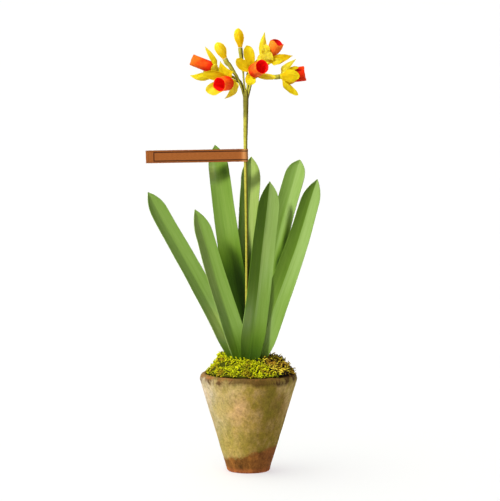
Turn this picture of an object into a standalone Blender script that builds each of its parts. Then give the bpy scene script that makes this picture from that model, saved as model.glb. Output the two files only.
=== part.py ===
"""Potted paper daffodil, for Blender 4.5.

A clay pot is filled with floral foam. Seven creased leaves of green card and one tape-wound
stem stand in the foam, and moss hides it. The stem parts into seven stalks, with five flowers
and two buds, and a strip of kraft paper is folded round it below them.

Metres, +Z up. The front faces -Y, with +X to the right. The origin is the centre of the pot's
foot, on the ground. Sizes in the tables are in millimetres and are turned to metres on use.
"""
import math

import bmesh
import bpy
from mathutils import Matrix, Vector, noise

MM = 0.001
GAP = 0.3  # clearance between pieces that touch on the real thing

# Pot
POT_HEIGHT = 99.0
RIM_RADIUS = 48.7
RIM_HEIGHT = 93.0  # where the wall is widest, below the rounded lip
FOOT_RADIUS = 20.9
POT_WALL = 6.0
POT_FLOOR = 7.0
LIP_INNER_ROUND = 1.8
LIP_REACH = 3.6  # how far in from the rim the outer side of the lip rounds
FOOT_ROUND = 2.6
POT_STEPS = 44

# Filling and moss
FOAM_TOP = 90.0
FOAM_STEPS = 40
MOSS_CROWN = 115.0
MOSS_FALL = 14.5  # drop from the crown to the edge on the lip
MOSS_REACH = 44.6
MOSS_SKEW = 2.2  # the bed sits towards the right of the pot
MOSS_CLEAR = 1.1  # inside the pot, from its wall
MOSS_STEPS = 38
MOSS_RINGS = 8
MOSS_LUMP = 1.5
MOSS_LUMP_PITCH = 6.5
MOSS_CLUMPS = (  # x, y, extra height, radius
    (-28.0, 7.0, 9.5, 6.5),
    (-14.0, -4.0, 2.5, 7.0),
    (22.0, 8.0, 2.0, 7.0),
    (31.0, 8.0, 3.5, 5.5),
    (40.0, 3.0, 4.0, 5.5),
)
MOSS_SEAM = ((7.0, 70.0), (7.0, -15.0), (46.0, -54.0), (70.0, -54.0), (70.0, 70.0))

# Leaves: points along the crease from the foot to the tip, the card's width, its width below
# the tip as a share of that, the length over which it grows wide above the foam, its turn about
# its own line and the fold of each half in degrees, the length of the tip and how round it is
BLADE_THICK = 0.8
LEAF_ROWS = 18
LEAF_FOOT_WIDTH = 7.0
LEAF_TIP_WIDTH = 0.8
LEAF_CROWDING = 1.3  # how much closer the rows lie towards the tip
SLOT_ROWS = 6  # rows of a leaf that its slot reaches past, from the foot
LEAVES = {
    "leaf_a": dict(
        crease=((-5.5, -3, 68), (-7.0, -3, 95), (-13.7, -3, 119), (-28.4, -3.6, 147.3),
                (-46.5, -4.6, 181.5), (-66.0, -5.6, 217.6), (-85.2, -6.8, 251.7),
                (-99.6, -8, 280.4)),
        width=24.5, top=0.80, grow=60, turn=22, fold=33, tip=25, roundness=2.6),
    "leaf_b": dict(
        crease=((-6.0, -8, 68), (-6.5, -8, 95), (-9.0, -8, 119), (-18.6, -9, 149.9),
                (-29.8, -10.5, 184.2), (-39.2, -12, 216.3), (-46.1, -13, 241.3),
                (-53.0, -14, 263.8)),
        width=24.0, top=0.80, grow=62, turn=22, fold=33, tip=27, roundness=2.1),
    "leaf_c": dict(
        crease=((-7.0, 9.5, 68), (-6.5, 9.5, 95), (-5.5, 10, 119), (-10.5, 11.5, 160.6),
                (-17.5, 13, 205.7), (-23.0, 14.5, 242.7), (-28.0, 16, 280.7),
                (-33.4, 17, 325.7)),
        width=28.0, top=0.74, grow=74, turn=10, fold=33, tip=25, roundness=2.6),
    "leaf_d": dict(
        crease=((0.5, 14.5, 68), (0.0, 14.5, 95), (-1.0, 15, 119), (-1.0, 19.5, 170),
                (-0.5, 23, 220), (1.0, 25, 265), (2.5, 26, 290), (2.8, 27, 313.5)),
        width=23.0, top=0.93, grow=74, turn=-5, fold=30, tip=23, roundness=2.6),
    "leaf_e": dict(
        crease=((1.5, -13, 68), (1.5, -13, 95), (1.8, -13, 117), (5.5, -11.8, 153.3),
                (9.5, -10.5, 185.2), (13.4, -9, 223), (17.9, -7.4, 260.7), (21.0, -6, 291)),
        width=27.0, top=0.86, grow=56, turn=10, fold=31, tip=30, roundness=2.1),
    "leaf_f": dict(
        crease=((6.0, 8, 68), (6.2, 8, 95), (7.5, 8, 118.6), (14.5, 10, 160.7),
                (23.5, 12, 202.8), (32.6, 13.5, 243.8), (40.2, 14.8, 272.8), (51.4, 16, 311)),
        width=24.5, top=0.94, grow=74, turn=-6, fold=33, tip=22, roundness=3.4),
    "leaf_g": dict(
        crease=((8.5, 0, 68), (9.2, 0, 95), (12.0, 0, 117.6), (18.2, 0.5, 139.7),
                (25.6, 1, 163.8), (36.6, 2, 195.8), (49.4, 2.8, 230.8), (59.4, 3.5, 259.8),
                (68.6, 4, 292.4)),
        width=23.5, top=0.82, grow=68, turn=-9, fold=33, tip=26, roundness=2.2),
}

# Stem and stalks: points with the tube's radius there, from the foot or the fork upwards.
# A stalk ends in line with its flower or bud, with the last radius given.
TUBE_SIDES_LEVEL = 2
STALK_END = 4.5  # the straight end of a stalk
STEM = ((-1.5, 0, 68, 1.4), (-1.9, 0, 120, 1.4), (-1.9, 0, 172, 1.4), (-1.9, 0, 237, 1.45),
        (-2.9, 0, 306, 1.65), (-3.0, 0, 318, 1.7), (-3.0, 0, 328, 1.95), (-2.7, 0, 362, 2.6),
        (-2.7, 0, 374, 2.8), (-2.8, 0, 379, 2.3))
STALKS = {
    "bud_1": (2.5, ((-3.9, -0.8, 372, 1.2), (-5.9, -1, 380.9, 1.3), (-8.3, -1, 387.7, 1.3),
                    (-11.2, -1, 394.0, 1.25), (-15.2, -1, 400.3, 1.5), (-19.0, -1, 406.3, 2.0))),
    "bud_2": (2.2, ((-2.8, 0.6, 372, 1.2), (-3.3, 1.2, 380.0, 1.0), (-4.3, 1.6, 387.0, 0.9),
                    (-5.0, 1.9, 394.4, 0.9), (-5.5, 2.2, 401.2, 1.2), (-6.6, 1.4, 409.6, 1.8))),
    "1": (2.1, ((-3.3, 0.8, 372, 1.2), (-4.5, 1.8, 381.4, 1.3), (-6.2, 2.6, 386.4, 1.3),
                (-9.6, 3.6, 391.0, 1.3), (-16.5, 4.2, 394.6, 1.3), (-22.5, 3.2, 397.8, 1.5))),
    "2": (2.0, ((-3.9, 0.2, 372, 1.2), (-5.4, 0.2, 381.4, 1.3), (-7.4, 0.4, 386.4, 1.4),
                (-9.2, 0.4, 389.4, 1.5))),
    "3": (2.1, ((-1.9, 0.6, 372, 1.2), (-1.5, 1.2, 380.0, 1.3), (-0.6, 1.8, 386.4, 1.3),
                (-0.4, 1.8, 391.8, 1.5))),
    "4": (2.1, ((-1.6, 0.8, 372, 1.2), (-0.6, 1.8, 380.0, 1.3), (0.6, 3.2, 386.4, 1.3),
                (2.6, 5.2, 393.4, 1.3), (6.6, 6.0, 398.6, 1.3), (12.4, 4.2, 401.6, 1.5))),
    "5": (2.4, ((-1.3, 0.2, 372, 1.2), (0.4, 0.8, 379.5, 1.3), (2.1, 1.8, 386.2, 1.3),
                (4.2, 2.4, 391.2, 1.3), (7.8, 2.6, 394.8, 1.4), (13.4, 1.8, 395.4, 1.5),
                (21.3, 0.6, 395.0, 1.8))),
}

# Flowers: the collar's back, the centre of the cup's mouth, the cup's largest radius, the
# length over which it widens, and each petal's tip, width and bow. A petal with a positive bow
# arches away from the cup.
COLLAR_LENGTH = 5.0
COLLAR_WALL = 1.2
COLLAR_STEPS = 12
COLLAR_FLOOR = 0.9
CUP_NECK = 2.6  # length of the cup's narrow foot
CUP_FOOT_RADIUS = 2.1
CUP_NARROWING = 0.6  # from the widest place to the mouth
CUP_WALL = 0.8
CUP_STEPS = 16
CUP_LEVELS = 4  # rows of facets beyond the collar
PETAL_THICK = 0.7
PETAL_ROWS = 5
PETAL_COLUMNS = 4
PETAL_ROOT_AT = 3.0  # along the axis
PETAL_ROOT_RADIUS = 3.3
PETAL_CUPPING = 0.16  # rise of the edges as a share of the width
FLOWERS = {
    "1": dict(base=(-30.2, 2, 401.0), mouth=(-56.3, 5, 410.1), cup=6.4, flare=9.5, petals=(
        ((-43.3, 0, 424.2), 6.5, 0.10), ((-57.6, -7, 395.4), 10.5, 0.19),
        ((-38.5, 16, 406.8), 9.0, 0.05), ((-45.0, 17, 399.0), 9.0, 0.05),
        ((-30.5, 20, 403.0), 8.0, 0.05))),
    "2": dict(base=(-13.9, -4, 389.7), mouth=(-28.3, -19.5, 386.9), cup=6.8, flare=9.5, petals=(
        ((-27.7, -5, 408.2), 12.0, 0.05), ((-37.5, -9, 398.0), 9.5, 0.05),
        ((-40.2, -10, 379.4), 13.5, 0.10), ((-23.4, -8, 373.4), 8.5, 0.20),
        ((-14.4, -10, 383.8), 6.0, 0.10), ((-17.5, 10, 379.5), 9.0, 0.05))),
    "3": dict(base=(2.5, -4, 398.5), mouth=(14.8, -22, 405.3), cup=6.8, flare=10.0, petals=(
        ((-1.3, -6, 425.9), 13.0, 0.05), ((-11.8, -5, 412.4), 11.0, 0.05),
        ((2.8, -20, 388.5), 12.5, 0.08), ((28.4, -7, 394.8), 7.5, 0.05),
        ((11.3, -7, 413.8), 8.0, 0.05))),
    "4": dict(base=(20.6, 0, 409.7), mouth=(29.9, -6, 430.0), cup=6.5, flare=14.0, petals=(
        ((15.9, 3, 438.0), 8.5, 0.17), ((19.3, -10.5, 425.4), 10.0, 0.12),
        ((22.0, -16, 417.5), 10.5, 0.08), ((43.4, 1, 415.6), 12.5, 0.12),
        ((7.6, 7, 413.0), 11.0, 0.05), ((29.5, 14, 423.0), 9.0, 0.10))),
    "5": dict(base=(31.2, 0, 394.8), mouth=(56.0, 3, 398.1), cup=7.3, flare=10.0, petals=(
        ((50.4, -10, 395.2), 13.5, 0.10), ((47.3, -2.5, 411.4), 9.0, 0.08),
        ((48.5, 10, 404.4), 9.0, 0.12), ((49.3, -3, 376.4), 12.0, 0.21),
        ((48.0, 15, 391.0), 9.5, 0.10))),
}

# Buds: the end of the stalk, the bud's tip, and its largest radius
BUD_RING = 14
BUD_LEVELS = 9
BUDS = {
    "bud_1": ((-23.4, -1, 412.7), (-31.4, -1, 428.2), 5.3),
    "bud_2": ((-8.25, 0.38, 423.6), (-10.4, 0, 442.6), 4.9),
}

# Label
LABEL_HEIGHT = 12.7
LABEL_LENGTH = 99.0  # from the stem's centre to the free end
LABEL_PAPER = 0.45
LABEL_FOLD = 5.0  # where the two layers meet, from the stem's centre
LABEL_AT = (-3.0, 0.0, 316.7)
LABEL_STEM_RADIUS = 1.8
LABEL_TILT = math.radians(1.0)


def clear_scene():
    for obj in list(bpy.data.objects):
        bpy.data.objects.remove(obj)


def new_collection(name):
    collection = bpy.data.collections.new(name)
    bpy.context.scene.collection.children.link(collection)
    return collection


def linear(hex_colour):
    """A six-digit sRGB hex colour as the linear colour that Blender's shaders take."""
    channels = [int(hex_colour[i:i + 2], 16) / 255 for i in (0, 2, 4)]
    return [c / 12.92 if c <= 0.04045 else ((c + 0.055) / 1.055) ** 2.4 for c in channels] + [1.0]


def paint(obj, hex_colour, roughness):
    """Give the object a material of its own, all of them without any metal."""
    material = bpy.data.materials.new(obj.name)
    material.use_nodes = True
    shader = material.node_tree.nodes["Principled BSDF"]
    shader.inputs["Base Color"].default_value = linear(hex_colour)
    shader.inputs["Roughness"].default_value = roughness
    shader.inputs["Metallic"].default_value = 0.0
    obj.data.materials.clear()
    obj.data.materials.append(material)


def add_object(name, mesh, collection):
    obj = bpy.data.objects.new(name, mesh)
    collection.objects.link(obj)
    return obj


def metres(point):
    return Vector(point[:3]) * MM


def smooth_step(value):
    value = min(max(value, 0.0), 1.0)
    return value * value * (3 - 2 * value)


def through(points, t):
    """A point at t, from 0 to 1, on the smooth curve through the given points."""
    spans = len(points) - 1
    k = min(int(t * spans), spans - 1)
    u = t * spans - k
    p1, p2 = Vector(points[k]), Vector(points[k + 1])
    p0 = Vector(points[k - 1]) if k else 2 * p1 - p2
    p3 = Vector(points[k + 2]) if k + 2 <= spans else 2 * p2 - p1
    return 0.5 * (2 * p1 + (p2 - p0) * u + (2 * p0 - 5 * p1 + 4 * p2 - p3) * u * u
                  + (3 * p1 - p0 - 3 * p2 + p3) * u ** 3)


def even_curve(points, rows):
    """Points at even steps of length along the smooth curve, and the curve's length."""
    fine = [through(points, i / 200) for i in range(201)]
    runs = [0.0]
    for a, b in zip(fine, fine[1:]):
        runs.append(runs[-1] + (b.xyz - a.xyz).length)
    out = []
    k = 0
    for i in range(rows + 1):
        want = runs[-1] * i / rows
        while k < 199 and runs[k + 1] < want:
            k += 1
        share = (want - runs[k]) / (runs[k + 1] - runs[k])
        out.append(fine[k].lerp(fine[k + 1], share))
    return out, runs[-1]


def evaluated_mesh(obj):
    bpy.context.view_layer.update()
    graph = bpy.context.evaluated_depsgraph_get()
    return bpy.data.meshes.new_from_object(obj.evaluated_get(graph), depsgraph=graph)


def apply_modifiers(obj):
    """Make the modified shape the object's own mesh, with its doubled points merged."""
    mesh = evaluated_mesh(obj)
    obj.modifiers.clear()
    obj.data = mesh
    merge_points(mesh)


def merge_points(mesh):
    bm = bmesh.new()
    bm.from_mesh(mesh)
    bmesh.ops.remove_doubles(bm, verts=bm.verts, dist=0.002 * MM)
    bmesh.ops.dissolve_degenerate(bm, edges=bm.edges, dist=0.002 * MM)
    bmesh.ops.recalc_face_normals(bm, faces=bm.faces)
    bm.to_mesh(mesh)
    bm.free()


def smooth(obj, angle=40.0):
    obj.data.shade_smooth()
    obj.data.set_sharp_from_angle(angle=math.radians(angle))


def boolean(obj, operation, other):
    """Join, cut or intersect with one object, or with a whole collection, and apply it."""
    modifier = obj.modifiers.new(operation.lower(), "BOOLEAN")
    modifier.operation = operation
    modifier.solver = "EXACT"
    if isinstance(other, bpy.types.Collection):
        modifier.operand_type = "COLLECTION"
        modifier.collection = other
    else:
        modifier.object = other
    apply_modifiers(obj)


def as_cutter(obj):
    obj.hide_render = True
    obj.display_type = "WIRE"
    return obj


def remove_all(collection):
    for obj in list(collection.objects):
        bpy.data.objects.remove(obj)
    bpy.data.collections.remove(collection)


def turned(name, profile, steps, collection):
    """A turned solid about Z. The profile, in mm, runs from the axis over the top and down."""
    mesh = bpy.data.meshes.new(name)
    mesh.from_pydata([(r * MM, 0, z * MM) for r, z in profile],
                     [(i, i + 1) for i in range(len(profile) - 1)], [])
    obj = add_object(name, mesh, collection)
    screw = obj.modifiers.new("turn", "SCREW")
    screw.steps = steps
    screw.render_steps = steps
    screw.use_merge_vertices = True
    screw.merge_threshold = 0.01 * MM
    apply_modifiers(obj)
    return obj


def place_along(obj, base, axis):
    """Turn the mesh so that its Z lies along the axis, and move its origin to the base."""
    turn = Vector((0, 0, 1)).rotation_difference(axis).to_matrix().to_4x4()
    obj.data.transform(Matrix.Translation(base) @ turn)


def arc(centre_r, centre_z, radius, start, stop, parts):
    """Profile points on an arc, with its angles in degrees from the outward direction."""
    angles = [math.radians(start + (stop - start) * i / parts) for i in range(parts + 1)]
    return [(centre_r + radius * math.cos(a), centre_z + radius * math.sin(a)) for a in angles]


def pot_radius(z):
    return FOOT_RADIUS + (RIM_RADIUS - FOOT_RADIUS) * min(z / RIM_HEIGHT, 1.0)


def inner_radius(z):
    return pot_radius(z) - POT_WALL


def build_pot(collection):
    heights = [RIM_HEIGHT * k / 4 for k in (1, 2, 3, 4)]
    inner_z = POT_HEIGHT - LIP_INNER_ROUND
    inner_r = inner_radius(inner_z) + LIP_INNER_ROUND
    round_z = POT_HEIGHT - RIM_HEIGHT
    profile = [(0, POT_FLOOR), (inner_radius(POT_FLOOR), POT_FLOOR)]
    profile += [(inner_radius(z), z) for z in heights]
    profile += arc(inner_r, inner_z, LIP_INNER_ROUND, 180, 90, 2)
    lip = arc(0, 0, 1, 72, 0, 4)
    profile += [(RIM_RADIUS - LIP_REACH * (1 - c), RIM_HEIGHT + round_z * s) for c, s in lip]
    profile += [(pot_radius(z), z) for z in reversed(heights[:3])]
    profile += arc(pot_radius(FOOT_ROUND) - FOOT_ROUND, FOOT_ROUND, FOOT_ROUND, 0, -90, 3)
    profile += [(0, 0)]
    pot = turned("pot", profile, POT_STEPS, collection)
    smooth(pot)
    paint(pot, "A8956A", 0.9)


def blade_mesh(name, rows_of_points, thickness):
    """A thin closed blade from rows of points, split into like triangles on both faces."""
    rows = len(rows_of_points)
    columns = len(rows_of_points[0])
    bm = bmesh.new()
    bmesh.ops.create_grid(bm, x_segments=columns - 1, y_segments=rows - 1, size=1)
    bm.verts.ensure_lookup_table()
    flat = [point for row in rows_of_points for point in row]
    for vert, point in zip(bm.verts, flat):
        vert.co = point
    bmesh.ops.triangulate(bm, faces=bm.faces)
    mesh = bpy.data.meshes.new(name)
    bm.to_mesh(mesh)
    bm.free()
    obj = bpy.data.objects.new(name, mesh)
    solid = obj.modifiers.new("thickness", "SOLIDIFY")
    solid.thickness = thickness
    solid.offset = 0.0
    solid.use_even_offset = True
    return obj


def leaf_width(leaf, run, length, foot_length):
    """The card's width at a run from its foot, in mm."""
    above = run - foot_length
    grown = LEAF_FOOT_WIDTH
    grown += (leaf["width"] - LEAF_FOOT_WIDTH) * smooth_step(above / leaf["grow"])
    taper = 1 - (1 - leaf["top"]) * smooth_step((above - leaf["grow"]) / (length - foot_length))
    near = min((length - run) / leaf["tip"], 1.0)
    point = 1 - (1 - near) ** leaf["roundness"]
    return max(grown * taper * point, LEAF_TIP_WIDTH)


def leaf_rows(leaf, rows, margin=0.0):
    """Rows of left edge, crease and right edge, with the fold open to the front."""
    crease = leaf["crease"]
    fine, length = even_curve(crease, 10 * rows)
    foot_length = (Vector(crease[1]) - Vector(crease[0])).length
    back = Vector((0, 1, 0))
    left_angle = math.radians(leaf["fold"] + leaf["turn"])
    right_angle = math.radians(leaf["fold"] - leaf["turn"])
    out = []
    for i in range(rows + 1):
        share = 1 - (1 - i / rows) ** LEAF_CROWDING
        k = min(int(share * 10 * rows), 10 * rows - 1)
        point = fine[k].lerp(fine[k + 1], share * 10 * rows - k)
        along = (fine[k + 1] - fine[k]).normalized()
        side = back.cross(along).normalized()
        front = side.cross(along)
        half = leaf_width(leaf, length * share, length, foot_length) / 2 + margin
        left = -side * math.cos(left_angle) + front * math.sin(left_angle)
        right = side * math.cos(right_angle) + front * math.sin(right_angle)
        out.append([metres(point + left * half), metres(point), metres(point + right * half)])
    return out


def build_leaves(collection):
    for name, leaf in LEAVES.items():
        blade = blade_mesh(name, leaf_rows(leaf, LEAF_ROWS), BLADE_THICK * MM)
        collection.objects.link(blade)
        apply_modifiers(blade)
        smooth(blade, 20.0)
        paint(blade, "76A44A", 0.75)


def tube(name, points, parts, collection):
    """A closed round tube through points that each carry a radius, as a mesh."""
    path, _ = even_curve(points, parts)
    curve = bpy.data.curves.new(name, "CURVE")
    curve.dimensions = "3D"
    curve.bevel_depth = MM
    curve.bevel_resolution = TUBE_SIDES_LEVEL
    curve.use_fill_caps = True
    spline = curve.splines.new("POLY")
    spline.points.add(len(path) - 1)
    for point, (x, y, z, radius) in zip(spline.points, path):
        point.co = (x * MM, y * MM, z * MM, 1)
        point.radius = radius
    rough = add_object(name + "_path", curve, collection)
    mesh = evaluated_mesh(rough)
    merge_points(mesh)
    obj = add_object(name, mesh, collection)
    obj.matrix_world = rough.matrix_world
    bpy.data.objects.remove(rough)
    return obj


def head(name):
    """Where a stalk's flower or bud starts, and the direction it points in."""
    if name in BUDS:
        base, tip, _ = BUDS[name]
    else:
        base, tip = FLOWERS[name]["base"], FLOWERS[name]["mouth"]
    return Vector(base), (Vector(tip) - Vector(base)).normalized()


def build_stem(collection):
    stem = tube("stem", STEM, 16, collection)
    stalks = new_collection("stalks")
    for name, (end_radius, points) in STALKS.items():
        base, axis = head(name)
        near = base - axis * (GAP + STALK_END)
        end = base - axis * GAP
        points += ((*near, end_radius), (*end, end_radius))
        tube("stalk_" + name, points, 10, stalks)
    boolean(stem, "UNION", stalks)
    remove_all(stalks)
    smooth(stem)
    paint(stem, "8C8430", 0.7)


def cup_radius(run, length, flower):
    """The cup's outside: a narrow foot, a quick flare, then a slight narrowing."""
    flare = smooth_step((run - CUP_NECK) / flower["flare"])
    narrowing = CUP_NARROWING * smooth_step((run / length - 0.45) / 0.55)
    return CUP_FOOT_RADIUS + (flower["cup"] - CUP_FOOT_RADIUS) * flare - narrowing


def build_cup(name, flower, base, axis, length, collection):
    start = COLLAR_FLOOR + GAP
    free = length - COLLAR_LENGTH
    runs = [start, CUP_NECK, COLLAR_LENGTH]
    runs += [COLLAR_LENGTH + free * i / CUP_LEVELS for i in range(1, CUP_LEVELS + 1)]
    inside = [(0, start + CUP_WALL)]
    inside += [(cup_radius(z, length, flower) - CUP_WALL, z) for z in runs[1:]]
    outside = [(cup_radius(z, length, flower), z) for z in reversed(runs)]
    cup = turned(name, inside + outside + [(0, start)], CUP_STEPS, collection)
    place_along(cup, base * MM, axis)
    smooth(cup)
    paint(cup, "EE6420", 0.8)


def petal_width(t, width):
    """The petal's width from root to tip, a pointed oval."""
    rise = 0.38 + 0.62 * math.sin(math.pi / 2 * min(t / 0.5, 1.0))
    fall = 1 - max((t - 0.5) / 0.5, 0.0) ** 2.4
    return max(width * rise * fall, 0.9)


def petal_rows(base, axis, tip, width, bow):
    """Rows of points across one petal, its edges raised towards the cup."""
    radial = tip - base
    radial = (radial - axis * radial.dot(axis)).normalized()
    root = base + axis * PETAL_ROOT_AT + radial * PETAL_ROOT_RADIUS
    reach = tip - root
    side = axis.cross(radial).normalized()
    inward = side.cross(reach).normalized()
    if inward.dot(axis) < 0:
        inward = -inward
    knee = root + reach * 0.5 - inward * (2 * bow * reach.length)
    out = []
    for i in range(PETAL_ROWS + 1):
        t = i / PETAL_ROWS
        mid = root * (1 - t) ** 2 + knee * (2 * t * (1 - t)) + tip * t * t
        half = petal_width(t, width) / 2
        row = []
        for j in range(PETAL_COLUMNS + 1):
            across = 2 * j / PETAL_COLUMNS - 1
            lift = inward * (2 * half * PETAL_CUPPING * across * across)
            row.append((mid + side * (across * half) + lift) * MM)
        out.append(row)
    return out


def build_petals(name, flower, base, axis, length, collection):
    """The collar that takes the cup's foot, with the petals' roots sunk in its wall."""
    levels = (COLLAR_FLOOR, CUP_NECK, COLLAR_LENGTH)
    hole = [cup_radius(z, length, flower) + GAP for z in levels]
    profile = [(0, COLLAR_FLOOR), (hole[0], COLLAR_FLOOR), (hole[1], CUP_NECK),
               (hole[2], COLLAR_LENGTH), (hole[2] + 0.7, COLLAR_LENGTH),
               (hole[1] + COLLAR_WALL, CUP_NECK), (2.7, 0.3), (2.2, 0), (0, 0)]
    collar = turned(name, profile, COLLAR_STEPS, collection)
    place_along(collar, base * MM, axis)
    blades = new_collection("blades")
    for i, (tip, width, bow) in enumerate(flower["petals"]):
        rows = petal_rows(base, axis, Vector(tip), width, bow)
        blade = blade_mesh(f"petal_{i}", rows, PETAL_THICK * MM)
        blades.objects.link(blade)
        apply_modifiers(blade)
    boolean(collar, "UNION", blades)
    remove_all(blades)
    smooth(collar, 35.0)
    paint(collar, "F0CC20", 0.8)


def build_flowers(collection):
    for number, flower in FLOWERS.items():
        base, axis = head(number)
        length = (Vector(flower["mouth"]) - base).length
        build_petals("petals_" + number, flower, base, axis, length, collection)
        build_cup("cup_" + number, flower, base, axis, length, collection)


def bud_radius(t):
    """A closed bud's radius from its stalk to its tip, as a share of the largest."""
    belly = 0.44 + 0.56 * smooth_step(t / 0.62)
    return belly * math.sqrt(max(1 - max((t - 0.6) / 0.4, 0.0) ** 2.4, 0.0))


def build_buds(collection):
    for name, (base, tip, radius) in BUDS.items():
        bm = bmesh.new()
        bmesh.ops.create_uvsphere(bm, u_segments=BUD_RING, v_segments=BUD_LEVELS, radius=1)
        length = (Vector(tip) - Vector(base)).length
        for vert in bm.verts:
            t = (1 + vert.co.z) / 2
            angle = math.atan2(vert.co.y, vert.co.x)
            flat = Vector((vert.co.x, vert.co.y))
            share = 0.0 if flat.length < 1e-6 else bud_radius(t) * (1 + 0.05 * math.cos(3 * angle))
            vert.co.x = radius * share * math.cos(angle) * MM
            vert.co.y = radius * share * math.sin(angle) * MM
            vert.co.z = length * t * MM
        mesh = bpy.data.meshes.new(name)
        bm.to_mesh(mesh)
        bm.free()
        bud = add_object(name, mesh, collection)
        place_along(bud, metres(base), head(name)[1])
        smooth(bud)
        paint(bud, "EFCF1E", 0.8)


def foot_cutters():
    """Slots for the leaves and the hole for the stem, each a little larger than its piece."""
    cutters = new_collection("cutters")
    for name, leaf in LEAVES.items():
        rows = leaf_rows(leaf, LEAF_ROWS, GAP + 0.05)[:SLOT_ROWS]
        down = (rows[0][1] - rows[1][1]).normalized() * (GAP * MM)
        rows[0] = [point + down for point in rows[0]]
        cutter = blade_mesh("slot_" + name, rows, (BLADE_THICK + 2 * GAP + 0.1) * MM)
        cutters.objects.link(cutter)
        apply_modifiers(cutter)
        as_cutter(cutter)
    widened = [(x, y, z, radius + GAP) for x, y, z, radius in STEM[:3]]
    x, y, z, radius = widened[0]
    widened[0] = (x, y, z - GAP, radius)
    as_cutter(tube("hole_stem", widened, 6, cutters))
    return cutters


def build_filling(cutters, collection):
    profile = [(0, FOAM_TOP), (inner_radius(FOAM_TOP) - GAP, FOAM_TOP)]
    profile += [(inner_radius(z) - GAP, z) for z in (80.0, 62.0, 42.0, 22.0)]
    floor = POT_FLOOR + GAP
    profile += [(inner_radius(floor) - 1.5 * GAP, floor), (0, floor)]
    filling = turned("filling", profile, FOAM_STEPS, collection)
    boolean(filling, "DIFFERENCE", cutters)
    smooth(filling)
    paint(filling, "6F7F55", 1.0)


def moss_height(x, y):
    """Top of the moss bed: a dome, a few clumps and fine lumps."""
    r = math.hypot(x, y)
    height = MOSS_CROWN - MOSS_FALL * (r / MOSS_REACH) ** 3.2
    height -= 2.6 * smooth_step(-y / 24) * smooth_step((MOSS_REACH - r) / 14)
    for cx, cy, rise, radius in MOSS_CLUMPS:
        height += rise * math.exp(-((x - cx) ** 2 + (y - cy) ** 2) / (radius * radius))
    lump = noise.noise(Vector((x, y, 0)) / MOSS_LUMP_PITCH)
    return height + MOSS_LUMP * lump * smooth_step((MOSS_REACH - r) / 8 + 0.3)


def moss_reach(angle, least):
    ripple = 0.9 * noise.noise(Vector((2.2 * math.cos(angle), 2.2 * math.sin(angle), 3)))
    return max(MOSS_REACH + MOSS_SKEW * math.cos(angle) + ripple, least)


def build_moss(cutters, collection):
    """One bed, cut along a seam into the green and the brown moss."""
    shoulder = POT_HEIGHT + 1.4
    lip = POT_HEIGHT + GAP + 0.1
    inside = inner_radius(POT_HEIGHT) - MOSS_CLEAR
    low = FOAM_TOP + GAP
    flat_top = POT_HEIGHT + 10.0
    profile = [(MOSS_REACH * (i / MOSS_RINGS) ** 0.9, flat_top) for i in range(MOSS_RINGS)]
    profile += [(MOSS_REACH, shoulder), (MOSS_REACH - 0.5, lip), (inside, lip),
                (inner_radius(low) - MOSS_CLEAR, low), (0, low)]
    bed = turned("moss_bed", profile, MOSS_STEPS, collection)
    for vert in bed.data.vertices:
        x, y, z = vert.co / MM
        r = math.hypot(x, y)
        if z > lip + 0.1 or r > inside + 0.1:
            reach = moss_reach(math.atan2(y, x), inside + 0.8)
            spread = 1 + (reach / MOSS_REACH - 1) * (r / MOSS_REACH) ** 2
            x *= spread
            y *= spread
        if z > shoulder + 0.1:
            z = moss_height(x, y)
        vert.co = metres((x, y, z))
    bed.modifiers.new("flat_facets", "TRIANGULATE")
    apply_modifiers(bed)
    brown = add_object("moss_brown", bed.data.copy(), collection)
    seam = extruded("seam", MOSS_SEAM, 80.0, 140.0)
    boolean(brown, "INTERSECT", seam)
    bpy.data.objects.remove(seam)
    bed.name = "moss_green"
    seam = extruded("seam", [(x - GAP, y - GAP / 2) for x, y in MOSS_SEAM], 80.0, 140.0)
    boolean(bed, "DIFFERENCE", seam)
    bpy.data.objects.remove(seam)
    for moss, colour in ((bed, "9DA41C"), (brown, "7A5E1C")):
        boolean(moss, "DIFFERENCE", cutters)
        smooth(moss, 60.0)
        paint(moss, colour, 1.0)


def extruded(name, outline, low, high):
    """A flat outline in mm, raised from one height to another, as a cutter's mesh."""
    bm = bmesh.new()
    face = bm.faces.new([bm.verts.new((x * MM, y * MM, low * MM)) for x, y in outline])
    lifted = bmesh.ops.extrude_face_region(bm, geom=[face])["geom"]
    moved = [item for item in lifted if isinstance(item, bmesh.types.BMVert)]
    bmesh.ops.translate(bm, verts=moved, vec=(0, 0, (high - low) * MM))
    bmesh.ops.recalc_face_normals(bm, faces=bm.faces)
    mesh = bpy.data.meshes.new(name)
    bm.to_mesh(mesh)
    bm.free()
    return as_cutter(add_object(name, mesh, bpy.context.scene.collection))


def circle_points(radius, start, stop, parts):
    angles = [math.radians(start + (stop - start) * i / parts) for i in range(parts + 1)]
    return [(radius * math.cos(a), radius * math.sin(a)) for a in angles]


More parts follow.
